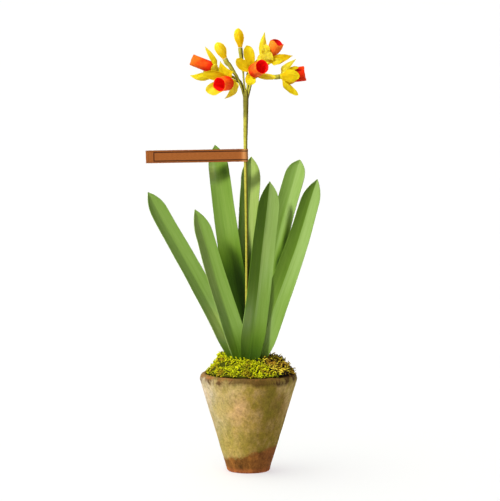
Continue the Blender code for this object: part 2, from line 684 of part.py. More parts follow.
def build_label(collection):
    """The folded strip, as a flat curve of its plan that is extruded to its height."""
    inner = LABEL_STEM_RADIUS + GAP
    outer = inner + LABEL_PAPER
    leave = 180 - math.degrees(math.acos(outer / LABEL_FOLD))
    half = LABEL_PAPER
    outline = [(-LABEL_LENGTH, half), (-LABEL_LENGTH, -half), (-LABEL_FOLD, -half)]
    outline += circle_points(outer, -leave, leave, 14)
    outline += [(-LABEL_FOLD, half)]
    hole = circle_points(inner, 0, 345, 23)
    curve = bpy.data.curves.new("label", "CURVE")
    curve.dimensions = "2D"
    curve.fill_mode = "BOTH"
    curve.extrude = LABEL_HEIGHT / 2 * MM
    for points in (outline, hole):
        spline = curve.splines.new("POLY")
        spline.points.add(len(points) - 1)
        for target, (x, y) in zip(spline.points, points):
            target.co = (x * MM, y * MM, 0, 1)
        spline.use_cyclic_u = True
    rough = add_object("label_plan", curve, collection)
    mesh = evaluated_mesh(rough)
    merge_points(mesh)
    bpy.data.objects.remove(rough)
    label = add_object("label", mesh, collection)
    label.location = metres(LABEL_AT)
    label.rotation_euler = (0, -LABEL_TILT, 0)
    smooth(label)
    paint(label, "B06A38", 0.85)


def main():
    clear_scene()
    parts = new_collection("potted_daffodil")
    build_pot(parts)
    cutters = foot_cutters()
    build_filling(cutters, parts)
    build_moss(cutters, parts)
    build_leaves(parts)
    build_stem(parts)
    build_flowers(parts)
    build_buds(parts)
    build_label(parts)


main()
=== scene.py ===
import math

import bmesh
import bpy
from mathutils import Matrix, Vector, noise


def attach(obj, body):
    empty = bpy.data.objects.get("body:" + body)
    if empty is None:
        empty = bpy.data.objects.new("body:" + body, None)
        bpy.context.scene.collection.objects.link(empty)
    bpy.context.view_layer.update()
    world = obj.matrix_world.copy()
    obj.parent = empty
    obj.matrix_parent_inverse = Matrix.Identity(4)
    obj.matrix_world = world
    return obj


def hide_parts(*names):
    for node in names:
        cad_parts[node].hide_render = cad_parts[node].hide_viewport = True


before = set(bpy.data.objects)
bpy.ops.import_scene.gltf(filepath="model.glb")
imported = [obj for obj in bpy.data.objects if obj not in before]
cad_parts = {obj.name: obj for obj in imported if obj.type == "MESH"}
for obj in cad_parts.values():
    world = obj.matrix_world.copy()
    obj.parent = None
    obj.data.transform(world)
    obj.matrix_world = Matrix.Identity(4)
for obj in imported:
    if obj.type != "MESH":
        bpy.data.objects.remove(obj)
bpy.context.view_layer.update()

# Studio.
# The plant stands on a plain pale table top. One soft lamp shines from the upper left in front,
# and a white room, dimmer on the right, fills the shadows. The camera looks down a little.
MM = 0.001
CAMERA_AT = (0.0015, -3.2, 0.545)
CAMERA_DROP = math.radians(5.771)
CAMERA_LENS = 232.5
LAMP_TRAVEL = Vector((21, 19, -25))  # the direction that its light moves in


def linear(hex_colour):
    """A six-digit sRGB hex colour as the linear colour that a shader takes."""
    channels = [int(hex_colour[i:i + 2], 16) / 255 for i in (0, 2, 4)]
    return [c / 12.92 if c <= 0.04045 else ((c + 0.055) / 1.055) ** 2.4 for c in channels] + [1.0]


def feed(tree, node, inputs):
    """Give a node's inputs a value, a hex colour, or a link from a socket or a node."""
    for name, value in inputs.items():
        socket = node.inputs[name]
        if isinstance(value, bpy.types.Node):
            value = next(made for made in value.outputs if made.enabled)
        if isinstance(value, bpy.types.NodeSocket):
            tree.links.new(value, socket)
        elif isinstance(value, str) and socket.type == "RGBA":
            socket.default_value = linear(value)
        else:
            socket.default_value = value


def add(tree, kind, inputs=(), marks=(), **settings):
    """Add a node with its settings, the marks of its colour ramp, which run from 0 to 1, and
    its inputs, named or in their order. A kind with no family name is a shader node."""
    family = "" if kind.startswith(("Geometry", "Function", "NodeGroup")) else "ShaderNode"
    node = tree.nodes.new(family + kind)
    for name, value in settings.items():
        setattr(node, name, value)
    for spot, colour in marks:
        ramp = node.color_ramp.elements
        mark = ramp.new(spot) if 0 < spot < 1 else ramp[0 if spot == 0 else -1]
        mark.color = linear(colour)
    feed(tree, node, inputs if isinstance(inputs, dict) else dict(enumerate(inputs)))
    return node


def new_material(name):
    """A material, its node tree and its Principled shader."""
    material = bpy.data.materials.new(name)
    material.use_nodes = True
    return material, material.node_tree, material.node_tree.nodes["Principled BSDF"]


camera = bpy.data.objects.new("camera", bpy.data.cameras.new("camera"))
bpy.context.scene.collection.objects.link(camera)
camera.location = CAMERA_AT
camera.rotation_euler = (math.radians(90) - CAMERA_DROP, 0, 0)
camera.data.sensor_fit = "HORIZONTAL"
camera.data.sensor_width = 36.0
camera.data.lens = CAMERA_LENS
camera.data.clip_end = 200.0
bpy.context.scene.camera = camera

room = bpy.data.worlds.new("room")
room.use_nodes = True
tree = room.node_tree
side = add(tree, "SeparateXYZ", (add(tree, "TexCoord").outputs["Generated"],)).outputs["X"]
glow = add(tree, "MapRange", (side, -0.8, 0.8, 0.95, 0.28), interpolation_type="SMOOTHSTEP")
# behind the table top the room is an even white
seen = add(tree, "LightPath").outputs["Is Camera Ray"]
glow = add(tree, "Mix", {0: seen, 2: glow, 3: 1.0})
tint = add(tree, "Mix", {0: seen, 6: (1.0, 0.975, 0.87, 1.0), 7: (1.0, 1.0, 1.0, 1.0)},
           data_type="RGBA")
feed(tree, tree.nodes["Background"], {"Strength": glow, "Color": tint})
bpy.context.scene.world = room
bpy.context.scene.view_settings.view_transform = "Standard"

# Painted board: a smooth sheet with a matt off-white coat.
painted_board, tree, shader = new_material("painted_board")
feed(tree, shader, {"Base Color": "F6F6F4", "Roughness": 0.9})
bpy.ops.mesh.primitive_plane_add(size=160.0)
table_top = bpy.context.object
table_top.name = "table_top"
table_top.data.materials.append(painted_board)

# the plant's lamp leaves the table top out, which has an even lamp of its own
for name, energy, colour, reach in (("lamp", 5.0, (1.0, 0.97, 0.9), "EXCLUDE"),
                                    ("board_lamp", 1.9, (0.86, 0.89, 1.0), "INCLUDE")):
    light = bpy.data.objects.new(name, bpy.data.lights.new(name, "SUN"))
    bpy.context.scene.collection.objects.link(light)
    light.data.energy = energy
    light.data.color = colour
    if name == "lamp":
        light.rotation_euler = LAMP_TRAVEL.to_track_quat("-Z", "Y").to_euler()
        light.data.angle = math.radians(9)
    else:
        light.data.use_shadow = False
    lit = bpy.data.collections.new(name + "_reach")
    lit.objects.link(table_top)
    lit.collection_objects[0].light_linking.link_state = reach
    light.light_linking.receiver_collection = lit

# Pot.
# A small clay pot, thrown on a wheel: a plain cone with a rounded lip, no drainage collar.
# Years outdoors left lime and algae on it, and its foot stood in soil and stayed bare.
POT_HEIGHT = 99.0
RIM_RADIUS = 48.7
RIM_HEIGHT = 93.0
FOOT_RADIUS = 20.9
FOOT_ROUND = 2.8
LIP_ROUND = 1.6
RIM_LEAN = 3.8  # how far the rim rounds inwards on its way to the top
RIM_FLAT = 4.6  # how far inside the rim the flat top lies
POT_WALL = 6.0
POT_FLOOR = 7.0
POT_STEPS = 160
ARC_STEPS = 4


def finished(name, bm):
    """The built points and faces as a mesh with a name."""
    mesh = bpy.data.meshes.new(name)
    bm.to_mesh(mesh)
    bm.free()
    return mesh


def ring_mesh(name, rings):
    """A closed mesh from rings of points, each with as many points, in mm, joined in turn."""
    bm = bmesh.new()
    loops = [[bm.verts.new(Vector(p) * MM) for p in ring] for ring in rings]
    count = len(loops[0])
    for low, high in zip(loops, loops[1:]):
        for i in range(count):
            j = (i + 1) % count
            bm.faces.new((low[i], low[j], high[j], high[i]))
    for loop in (loops[0], loops[-1]):
        centre = bm.verts.new(sum((v.co for v in loop), Vector()) / count)
        for i in range(count):
            bm.faces.new((loop[i], loop[(i + 1) % count], centre))
    bmesh.ops.recalc_face_normals(bm, faces=bm.faces)
    return finished(name, bm)


def show(name, mesh, material, node, sharp_angle=40):
    """Show a finished mesh in place of a node of the frame."""
    mesh.shade_smooth()
    mesh.set_sharp_from_angle(angle=math.radians(sharp_angle))
    mesh.materials.clear()
    mesh.materials.append(material)
    piece = bpy.data.objects.new(name, mesh)
    bpy.context.scene.collection.objects.link(piece)
    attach(piece, "root")
    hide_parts(node)


def wall_radius(z):
    return FOOT_RADIUS + (RIM_RADIUS - FOOT_RADIUS) * min(z / RIM_HEIGHT, 1.0)


def clay_profile():
    """The turned outline, from the middle of the underside, over the lip, to the inner floor."""
    outline = [(4.0, 0.0), (12.0, 0.0)]
    for k in range(ARC_STEPS + 1):
        a = math.radians(-90 + 90 * k / ARC_STEPS)
        outline.append((wall_radius(FOOT_ROUND) - FOOT_ROUND + FOOT_ROUND * math.cos(a),
                        FOOT_ROUND + FOOT_ROUND * math.sin(a)))
    outline += [(wall_radius(z), z) for z in range(6, 92, 3)]
    for k in range(9):
        a = math.radians(10 * k)
        outline.append((RIM_RADIUS - RIM_LEAN * (1 - math.cos(a)),
                        RIM_HEIGHT + (POT_HEIGHT - RIM_HEIGHT) * math.sin(a)))
    outline.append((RIM_RADIUS - RIM_FLAT, POT_HEIGHT))
    for k in range(ARC_STEPS + 1):
        a = math.radians(90 + 90 * k / ARC_STEPS)
        outline.append((RIM_RADIUS - POT_WALL + LIP_ROUND + LIP_ROUND * math.cos(a),
                        POT_HEIGHT - LIP_ROUND + LIP_ROUND * math.sin(a)))
    outline += [(wall_radius(z) - POT_WALL, z) for z in range(90, 8, -9)]
    return outline + [(wall_radius(POT_FLOOR) - POT_WALL - 1, POT_FLOOR), (3.0, POT_FLOOR)]


rings = []
for r, z in clay_profile():
    ring = []
    lip = max(0.0, (z - 90) / 9)
    for i in range(POT_STEPS):
        a = 2 * math.pi * i / POT_STEPS
        way = Vector((math.cos(a), math.sin(a), 0))
        dent = 0.28 * noise.noise(way * 1.4 + Vector((0, 0, z / 30)))
        dent += 0.12 * noise.noise(way * 9 + Vector((0, 0, z / 5)))
        turning = 0.07 * math.sin(z * 1.9 + 2 * noise.noise(way + Vector((3, 0, z / 20))))
        worn = 0.55 * lip * noise.noise(way * 5 + Vector((7, 0, 0)))
        ring.append(way * (r + (dent + turning) * min(z / 4, 1.0))
                    + Vector((0, 0, z + worn - 0.2 * lip)))
    rings.append(ring)

# Old terracotta: a coarse porous clay, matte all over. Lime makes it pale and chalky, algae
# makes it olive in soft blotches, and the bare foot shows the red-brown of the fired clay.
old_terracotta, tree, shader = new_material("old_terracotta")
place = add(tree, "TexCoord").outputs["Object"]
axes = add(tree, "SeparateXYZ", (place,)).outputs
tall = add(tree, "Mapping", {"Vector": place, "Scale": (1, 1, 0.55)})
blotch, patch, grit, mottle = [
    add(tree, "TexNoise", {"Vector": where, "Scale": scale, "Detail": detail, "Roughness": rough})
    for where, scale, detail, rough in ((tall, 45.0, 5.0, 0.62), (tall, 95.0, 6.0, 0.7),
                                        (place, 520.0, 4.0, 0.7), (place, 210.0, 4.0, 0.75))]
swing = add(tree, "Math", (blotch, -0.5), operation="ADD")
# paler on the left and at the far right, darker between: partly lime and algae, partly painted
# light, with a painted rim light along the far right
side = add(tree, "MapRange", (axes["X"], -0.046, 0.046))
side = add(tree, "Math", (swing, 0.75, side), operation="MULTIPLY_ADD")
skin = add(tree, "ValToRGB", (side,), (
    (0.0, "B0A38E"), (0.2, "A19060"), (0.45, "927B38"), (0.72, "7F6826"), (0.86, "8F7937"),
    (1.0, "B69E62")))
coats = [(add(tree, "MapRange", (patch, 0.47, 0.66, 0.0, 0.5)), "AC8E62")]
# broad stains where it dripped or dried: place, reach across and up in mm, colour, strength
for x, z, across, up, colour, strength in (
        (-9, 66, 12, 19, "B8916A", 0.55), (-22, 28, 16, 18, "82762C", 0.6),
        (-30, 66, 8, 16, "8C8038", 0.4), (20, 72, 11, 26, "6E5E20", 0.55),
        (34, 70, 8, 14, "86643A", 0.5), (2, 34, 13, 13, "6E6020", 0.7),
        (-44, 80, 7, 30, "C4B4A0", 0.5)):
    spot = add(tree, "Mapping", {"Vector": place, "Location": (-x / across, 0, -z / up),
                                 "Scale": (1 / across / MM, 0, 1 / up / MM)})
    away = add(tree, "VectorMath", (spot,), operation="LENGTH")
    ragged = add(tree, "Math", (blotch, 2.2, away), operation="MULTIPLY_ADD")
    coats.append((add(tree, "MapRange", (ragged, 2.3, 1.3, 0.0, strength)), colour))
coats.append((add(tree, "MapRange", (patch, 0.52, 0.34, 0.0, 0.55)), "756B20"))
# the bare foot, under a line that climbs to the right
line = add(tree, "MapRange", (axes["X"], -0.018, 0.026, 0.0152, 0.0262))
line = add(tree, "Math", (swing, 0.012, line), operation="MULTIPLY_ADD")
under = add(tree, "Math", (line, axes["Z"]), operation="SUBTRACT")
frayed = add(tree, "Math", (grit, -0.5), operation="ADD")
under = add(tree, "Math", (frayed, 0.012, under), operation="MULTIPLY_ADD")
foot_clay = "432A0E"
for cover, coat in (
        (add(tree, "MapRange", (patch, 0.35, 0.65)), "865624"),
        (add(tree, "MapRange", (axes["X"], 0.0, 0.02, 0.0, 0.3)), "A8643A"),
        (add(tree, "MapRange", (axes["Z"], 0.006, 0.001, 0.0, 0.65)), "A45C34")):
    foot_clay = add(tree, "Mix", {0: cover, 6: foot_clay, 7: coat}, data_type="RGBA")
coats.append((add(tree, "MapRange", (under, -0.0016, 0.0016)), foot_clay))
# a dark band under the lip, partly damp and partly painted shade where the moss hangs over, and
# the lip is rubbed down to the clay in places and painted darker, as shade, from the left of the
# middle to the right
band = add(tree, "Math", (swing, 0.012, axes["Z"]), operation="MULTIPLY_ADD")
damp_and_moss_shade = add(tree, "MapRange", (patch, 0.42, 0.56, 0.1, 1.0))
# painted shade from the overhanging moss, made deepest in the middle
middle_moss_shade = add(tree, "Math", (axes["X"],), operation="ABSOLUTE")
middle_moss_shade = add(tree, "MapRange", (middle_moss_shade, 0.034, 0.014, 0.0, 0.9))
damp_and_moss_shade = add(tree, "Math", (damp_and_moss_shade, middle_moss_shade), operation="MAXIMUM")
damp_and_shade_band = add(tree, "MapRange", (band, 0.0895, 0.0935, 0.0, 0.9))
coats.append((add(tree, "Math", (damp_and_shade_band, damp_and_moss_shade), operation="MULTIPLY"), "3E260E"))
lip_wear_and_shade = "584818"
# the lip: bare clay where rubbed, and painted shade from the left of the middle to the right
for cover, coat in ((add(tree, "MapRange", (patch, 0.4, 0.6)), "8A5E34"),
                    (add(tree, "MapRange", (axes["X"], -0.036, -0.012, 0.0, 0.4)), "4A3414")):
    lip_wear_and_shade = add(tree, "Mix", {0: cover, 6: lip_wear_and_shade, 7: coat}, data_type="RGBA")
coats.append((add(tree, "MapRange", (band, 0.0962, 0.0985, 0.0, 0.75)), lip_wear_and_shade))
speck = add(tree, "Math", (grit, mottle), operation="ADD")
speck = add(tree, "MapRange", (speck, 0.7, 1.3, 0.62, 1.36))
for cover, coat in coats:
    skin = add(tree, "Mix", {0: cover, 6: skin, 7: coat}, data_type="RGBA")
skin = add(tree, "Mix", {0: 1.0, 6: skin, 7: speck}, data_type="RGBA", blend_type="MULTIPLY")
rough = add(tree, "Bump", {"Height": grit, "Strength": 0.35, "Distance": 0.0006})
pits = add(tree, "Bump", {"Height": patch, "Strength": 0.4, "Distance": 0.0012, "Normal": rough})
feed(tree, shader, {"Base Color": skin, "Roughness": 0.95, "Specular IOR Level": 0.1,
                    "Normal": pits})
show("pot_body", ring_mesh("pot_body", rings), old_terracotta, "pot")

# Foam.
# A block of dry floral foam, cut to the pot and pressed in. The wire and the leaf feet stand
# in it. The moss hides it, so the block itself stays as it is.

# Dry foam: a brittle open plastic, quite matt and full of pores, drawn coarser than in life.
dry_foam, tree, shader = new_material("dry_foam")
cells = add(tree, "TexVoronoi", {"Vector": add(tree, "TexCoord").outputs["Object"],
                                 "Scale": 900.0})
pores = add(tree, "Bump", {"Height": cells, "Strength": 0.5, "Distance": 0.0004})
tone = add(tree, "Mix", {0: cells, 6: "5F7048", 7: "86966C"}, data_type="RGBA")
feed(tree, shader, {"Base Color": tone, "Roughness": 1.0, "Normal": pores})
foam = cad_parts["filling"]
foam.data.materials.clear()
foam.data.materials.append(dry_foam)

# Moss.
# Two kinds of preserved moss, pulled into tufts and laid over the foam and the lip. The green
# one is springy with blunt curled branches, and the brown one on the right is coarser.


def new_group(name, inputs, output):
    """An empty group of geometry nodes with its inputs and its one output, and its inputs'
    sockets."""
    group = bpy.data.node_groups.new(name, "GeometryNodeTree")
    for label, kind in inputs:
        group.interface.new_socket(label, in_out="INPUT", socket_type="NodeSocket" + kind)
    group.interface.new_socket(output, in_out="OUTPUT", socket_type="NodeSocketGeometry")
    return group, add(group, "NodeGroupInput").outputs


def sprig_tree(name):
    """Geometry nodes that grow bent sprigs, thick as in life, from the upper side of a bed."""
    group, given = new_group(name, (
        ("Bed", "Geometry"), ("Spacing", "Float"), ("Length", "Float"), ("Thickness", "Float"),
        ("Lean", "Float"), ("Bend", "Float"), ("Gaps", "Float"), ("Seed", "Int"),
        ("Moss", "Material")), "Mound")
    # sprigs grow where the bed faces up and lies no lower than the lip
    tests = []
    for source, least in (("GeometryNodeInputNormal", -0.1),
                          ("GeometryNodeInputPosition", 98.5 * MM)):
        height = add(group, "SeparateXYZ", (add(group, source),)).outputs["Z"]
        tests.append(add(group, "FunctionNodeCompare", (height, least), operation="GREATER_THAN"))
    spots = add(group, "GeometryNodeDistributePointsOnFaces", {
        "Mesh": given["Bed"], "Selection": add(group, "FunctionNodeBooleanMath", tests),
        "Distance Min": given["Spacing"], "Density Max": 1.6e6, "Seed": given["Seed"]},
        distribute_method="POISSON")
    clump = add(group, "TexNoise", {"Scale": 170.0, "Detail": 2.0})
    thin = add(group, "FunctionNodeCompare", (clump, given["Gaps"]), operation="LESS_THAN")
    kept = add(group, "GeometryNodeDeleteGeometry", (spots, thin))
    # one sprig: a bent line that a square section follows, thinner towards its tip
    knee = add(group, "Math", (given["Length"], 0.62), operation="MULTIPLY")
    knee = add(group, "CombineXYZ", {"Z": knee})
    reach = add(group, "CombineXYZ", {"X": given["Bend"], "Z": given["Length"]})
    spine = add(group, "GeometryNodeCurveQuadraticBezier", {
        "Resolution": 3, "Start": (0, 0, -1.2 * MM), "Middle": knee, "End": reach})
    along = add(group, "GeometryNodeSplineParameter")
    spine = add(group, "GeometryNodeStoreNamedAttribute", {
        "Geometry": spine, "Name": "tip", "Value": along})
    taper = add(group, "MapRange", (along, 0.0, 1.0, 1.0, 0.75))
    width = add(group, "Math", (taper, given["Thickness"]), operation="MULTIPLY")
    section = add(group, "GeometryNodeCurvePrimitiveCircle", {"Resolution": 4, "Radius": 1.0})
    branch = add(group, "GeometryNodeCurveToMesh", {
        "Curve": spine, "Profile Curve": section, "Scale": width, "Fill Caps": True})
    lean, yaw, size, shade = [
        add(group, "FunctionNodeRandomValue", {2: least, 3: most, "Seed": seed})
        for least, most, seed in ((0.0, given["Lean"], 11), (0.0, 6.283, 5), (0.7, 1.35, 3),
                                  (0.0, 1.0, 8))]
    upright = add(group, "FunctionNodeAlignRotationToVector", {
        "Vector": spots.outputs["Normal"], "Factor": 0.7}, axis="Z")
    grown = add(group, "GeometryNodeInstanceOnPoints", {
        "Points": kept, "Instance": branch, "Scale": size, "Rotation": upright})
    grown = add(group, "GeometryNodeRotateInstances", {
        "Instances": grown, "Rotation": add(group, "CombineXYZ", {"Y": lean, "Z": yaw}),
        "Local Space": True})
    grown = add(group, "GeometryNodeStoreNamedAttribute", {
        "Geometry": grown, "Name": "shade", "Value": shade}, domain="INSTANCE")
    together = add(group, "GeometryNodeJoinGeometry", (grown,))
    feed(group, together, {0: given["Bed"]})
    plain = add(group, "GeometryNodeRealizeInstances", (together,))
    dressed = add(group, "GeometryNodeSetMaterial", {"Geometry": plain, "Material": given["Moss"]})
    add(group, "NodeGroupOutput", (dressed,))
    return group


def plain_mesh(source):
    """The mesh that an object's modifiers make. The object itself goes."""
    bpy.context.view_layer.update()
    graph = bpy.context.evaluated_depsgraph_get()
    made = bpy.data.meshes.new_from_object(source.evaluated_get(graph), depsgraph=graph)
    source.modifiers.clear()
    bpy.data.objects.remove(source)
    return made


def run_nodes(name, mesh, group, values):
    """Run a node group on a mesh with named input values, and return the plain mesh."""
    source = bpy.data.objects.new(name, mesh)
    bpy.context.scene.collection.objects.link(source)
    modifier = source.modifiers.new("grown", "NODES")
    modifier.node_group = group
    for item in group.interface.items_tree:
        if item.in_out == "INPUT" and item.name in values:
            modifier[item.identifier] = values[item.name]
    return plain_mesh(source)


def moss_material(name, tips, root_shade, spread, aged, lit_from, crept=()):
    """Preserved moss: dyed, dry and matte, bright at the tips, with painted shade making each
    sprig dark towards its root, between the tufts.
    """
    material, tree, shader = new_material(name)
    tip = add(tree, "Attribute", attribute_name="tip").outputs["Fac"]
    shade = add(tree, "Attribute", attribute_name="shade").outputs["Fac"]
    place = add(tree, "TexCoord").outputs["Object"]
    axes = add(tree, "SeparateXYZ", (place,)).outputs
    drift = add(tree, "TexNoise", {"Vector": place, "Scale": 60.0, "Detail": 3.0})
    mixed = add(tree, "Math", (shade, drift), operation="ADD")
    hue = add(tree, "ValToRGB", (add(tree, "MapRange", (mixed, *spread)),),
              [(i / (len(tips) - 1), colour) for i, colour in enumerate(tips)])
    spots = add(tree, "TexNoise", {"Vector": place, "Scale": 110.0, "Detail": 2.0})
    coats = [(add(tree, "MapRange", (spots, 0.52, 0.64, 0.0, 0.8)), aged)]
    if crept:
        # strands of the other moss have crept in below a slanting line
        line = add(tree, "Math", (axes["X"], 0.7, axes["Z"]), operation="MULTIPLY_ADD")
        line = add(tree, "Math", (drift, 0.012, line), operation="MULTIPLY_ADD")
        coats += [(add(tree, "MapRange", (axes["X"], 0.035, 0.045, 0.0, 0.6)), "6A4214"),
                  (add(tree, "MapRange", (line, 0.1315, 0.1285)),
                   add(tree, "Mix", {0: shade, 6: crept[0], 7: crept[1]}, data_type="RGBA"))]
    else:
        # the low part at the left has browned
        low = add(tree, "MapRange", (axes["Z"], 0.106, 0.099, 0.0, 0.6))
        left = add(tree, "MapRange", (axes["X"], -0.006, -0.016))
        low = add(tree, "Math", (low, left), operation="MULTIPLY")
        coats.append((add(tree, "Math", (low, shade), operation="MULTIPLY"), aged))
    for cover, coat in coats:
        hue = add(tree, "Mix", {0: cover, 6: hue, 7: coat}, data_type="RGBA")
    # painted shade: each sprig runs from a dark root colour up to its tip colour
    lit = add(tree, "MapRange", (tip, lit_from, lit_from + 0.6))
    tone = add(tree, "Mix", {0: lit, 6: root_shade, 7: hue}, data_type="RGBA")
    feed(tree, shader, {"Base Color": tone, "Roughness": 0.95, "Specular IOR Level": 0.1})
    return material


def smooth_step(value):
    value = min(max(value, 0.0), 1.0)
    return value * value * (3 - 2 * value)


def merged_copy(node, presses):
    """A copy of a node's loose triangles, merged, and pushed in or out round some places."""
    bm = bmesh.new()
    bm.from_mesh(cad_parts[node].data)
    bmesh.ops.remove_doubles(bm, verts=bm.verts, dist=0.01 * MM)
    bmesh.ops.subdivide_edges(bm, edges=bm.edges, cuts=1, use_grid_fill=True)
    bm.normal_update()
    moved = []
    for vert in bm.verts:
        above = smooth_step((vert.co.z / MM - 98) / 4)
        push = 1.6 * noise.noise(vert.co / (7 * MM)) * above
        for x, y, z, reach, depth in presses:
            away = (vert.co / MM - Vector((x, y, z))).length
            push += depth * math.exp(-(away / reach) ** 2) * above
        moved.append(vert.co + vert.normal * push * MM)
    for vert, spot in zip(bm.verts, moved):
        vert.co = spot
    return finished(node + "_copy", bm)


sprigs = sprig_tree("moss_sprigs")
green_moss = moss_material("dyed_green_moss", ("666A06", "909806", "AEB406", "C0C210"),
                           "363A04", (0.35, 1.45), "8E7018", 0.08)
brown_moss = moss_material("dried_brown_moss",
                           ("2E1C06", "6A5612", "BC9C20", "ECD444", "D4C638"),
                           "120802", (0.45, 1.35), "B08428", 0.2, ("626A06", "BEC412"))
# a press in the bed or a swell of it: place, reach and height, in mm
GREEN_PRESSES = (
    (-39, -6, 107, 5, -5.0), (-43, -6, 102, 6, -3.0), (-34, -7, 115, 6, 4.2),
    (-34, 12, 110, 9, -5.0), (6, -43, 101, 6, -3.5), (-14, -44, 101, 4, -1.5),
    (-30, -20, 109, 4, -3.0), (-22, -22, 110.5, 4, -3.5), (-13, -24, 111.5, 4, -3.0),
    (-3, -31, 109, 7, 2.5), (-27, -30, 105, 5, 1.5))
BROWN_PRESSES = ((32, -14, 107, 6, -2.0), (22, -20, 110, 5, 1.5), (46, -4, 104, 10, -5.0))
for hue, moss, presses, spacing, length, thickness, lean, bend, gaps, seed in (
        ("green", green_moss, GREEN_PRESSES, 0.95, 2.1, 0.54, 1.25, 1.7, 0.42, 4),
        ("brown", brown_moss, BROWN_PRESSES, 1.2, 3.0, 0.5, 1.3, 2.2, 0.46, 9)):
    grown = run_nodes(hue, merged_copy("moss_" + hue, presses), sprigs, {
        "Spacing": spacing * MM, "Length": length * MM, "Thickness": thickness * MM,
        "Lean": lean, "Bend": bend * MM, "Gaps": gaps, "Seed": seed, "Moss": moss})
    show(hue + "_moss", grown, moss, "moss_" + hue, 70)

# Leaves.
# Seven straps of green card, cut with shears to a blunt point and folded once along the
# middle, which keeps them stiff. Each is pushed into the foam by its narrow foot.
CARD = 0.5
LEAF_ROWS = 64
LEAF_FOOT_WIDTH = 7.0
LEAF_TIP_WIDTH = 0.8
LEAF_OPENS = 70
HALF_STEPS = (0.0, 0.03, 0.1, 0.25, 0.4, 0.55, 0.7, 0.84, 0.94, 1.0)  # crease to edge
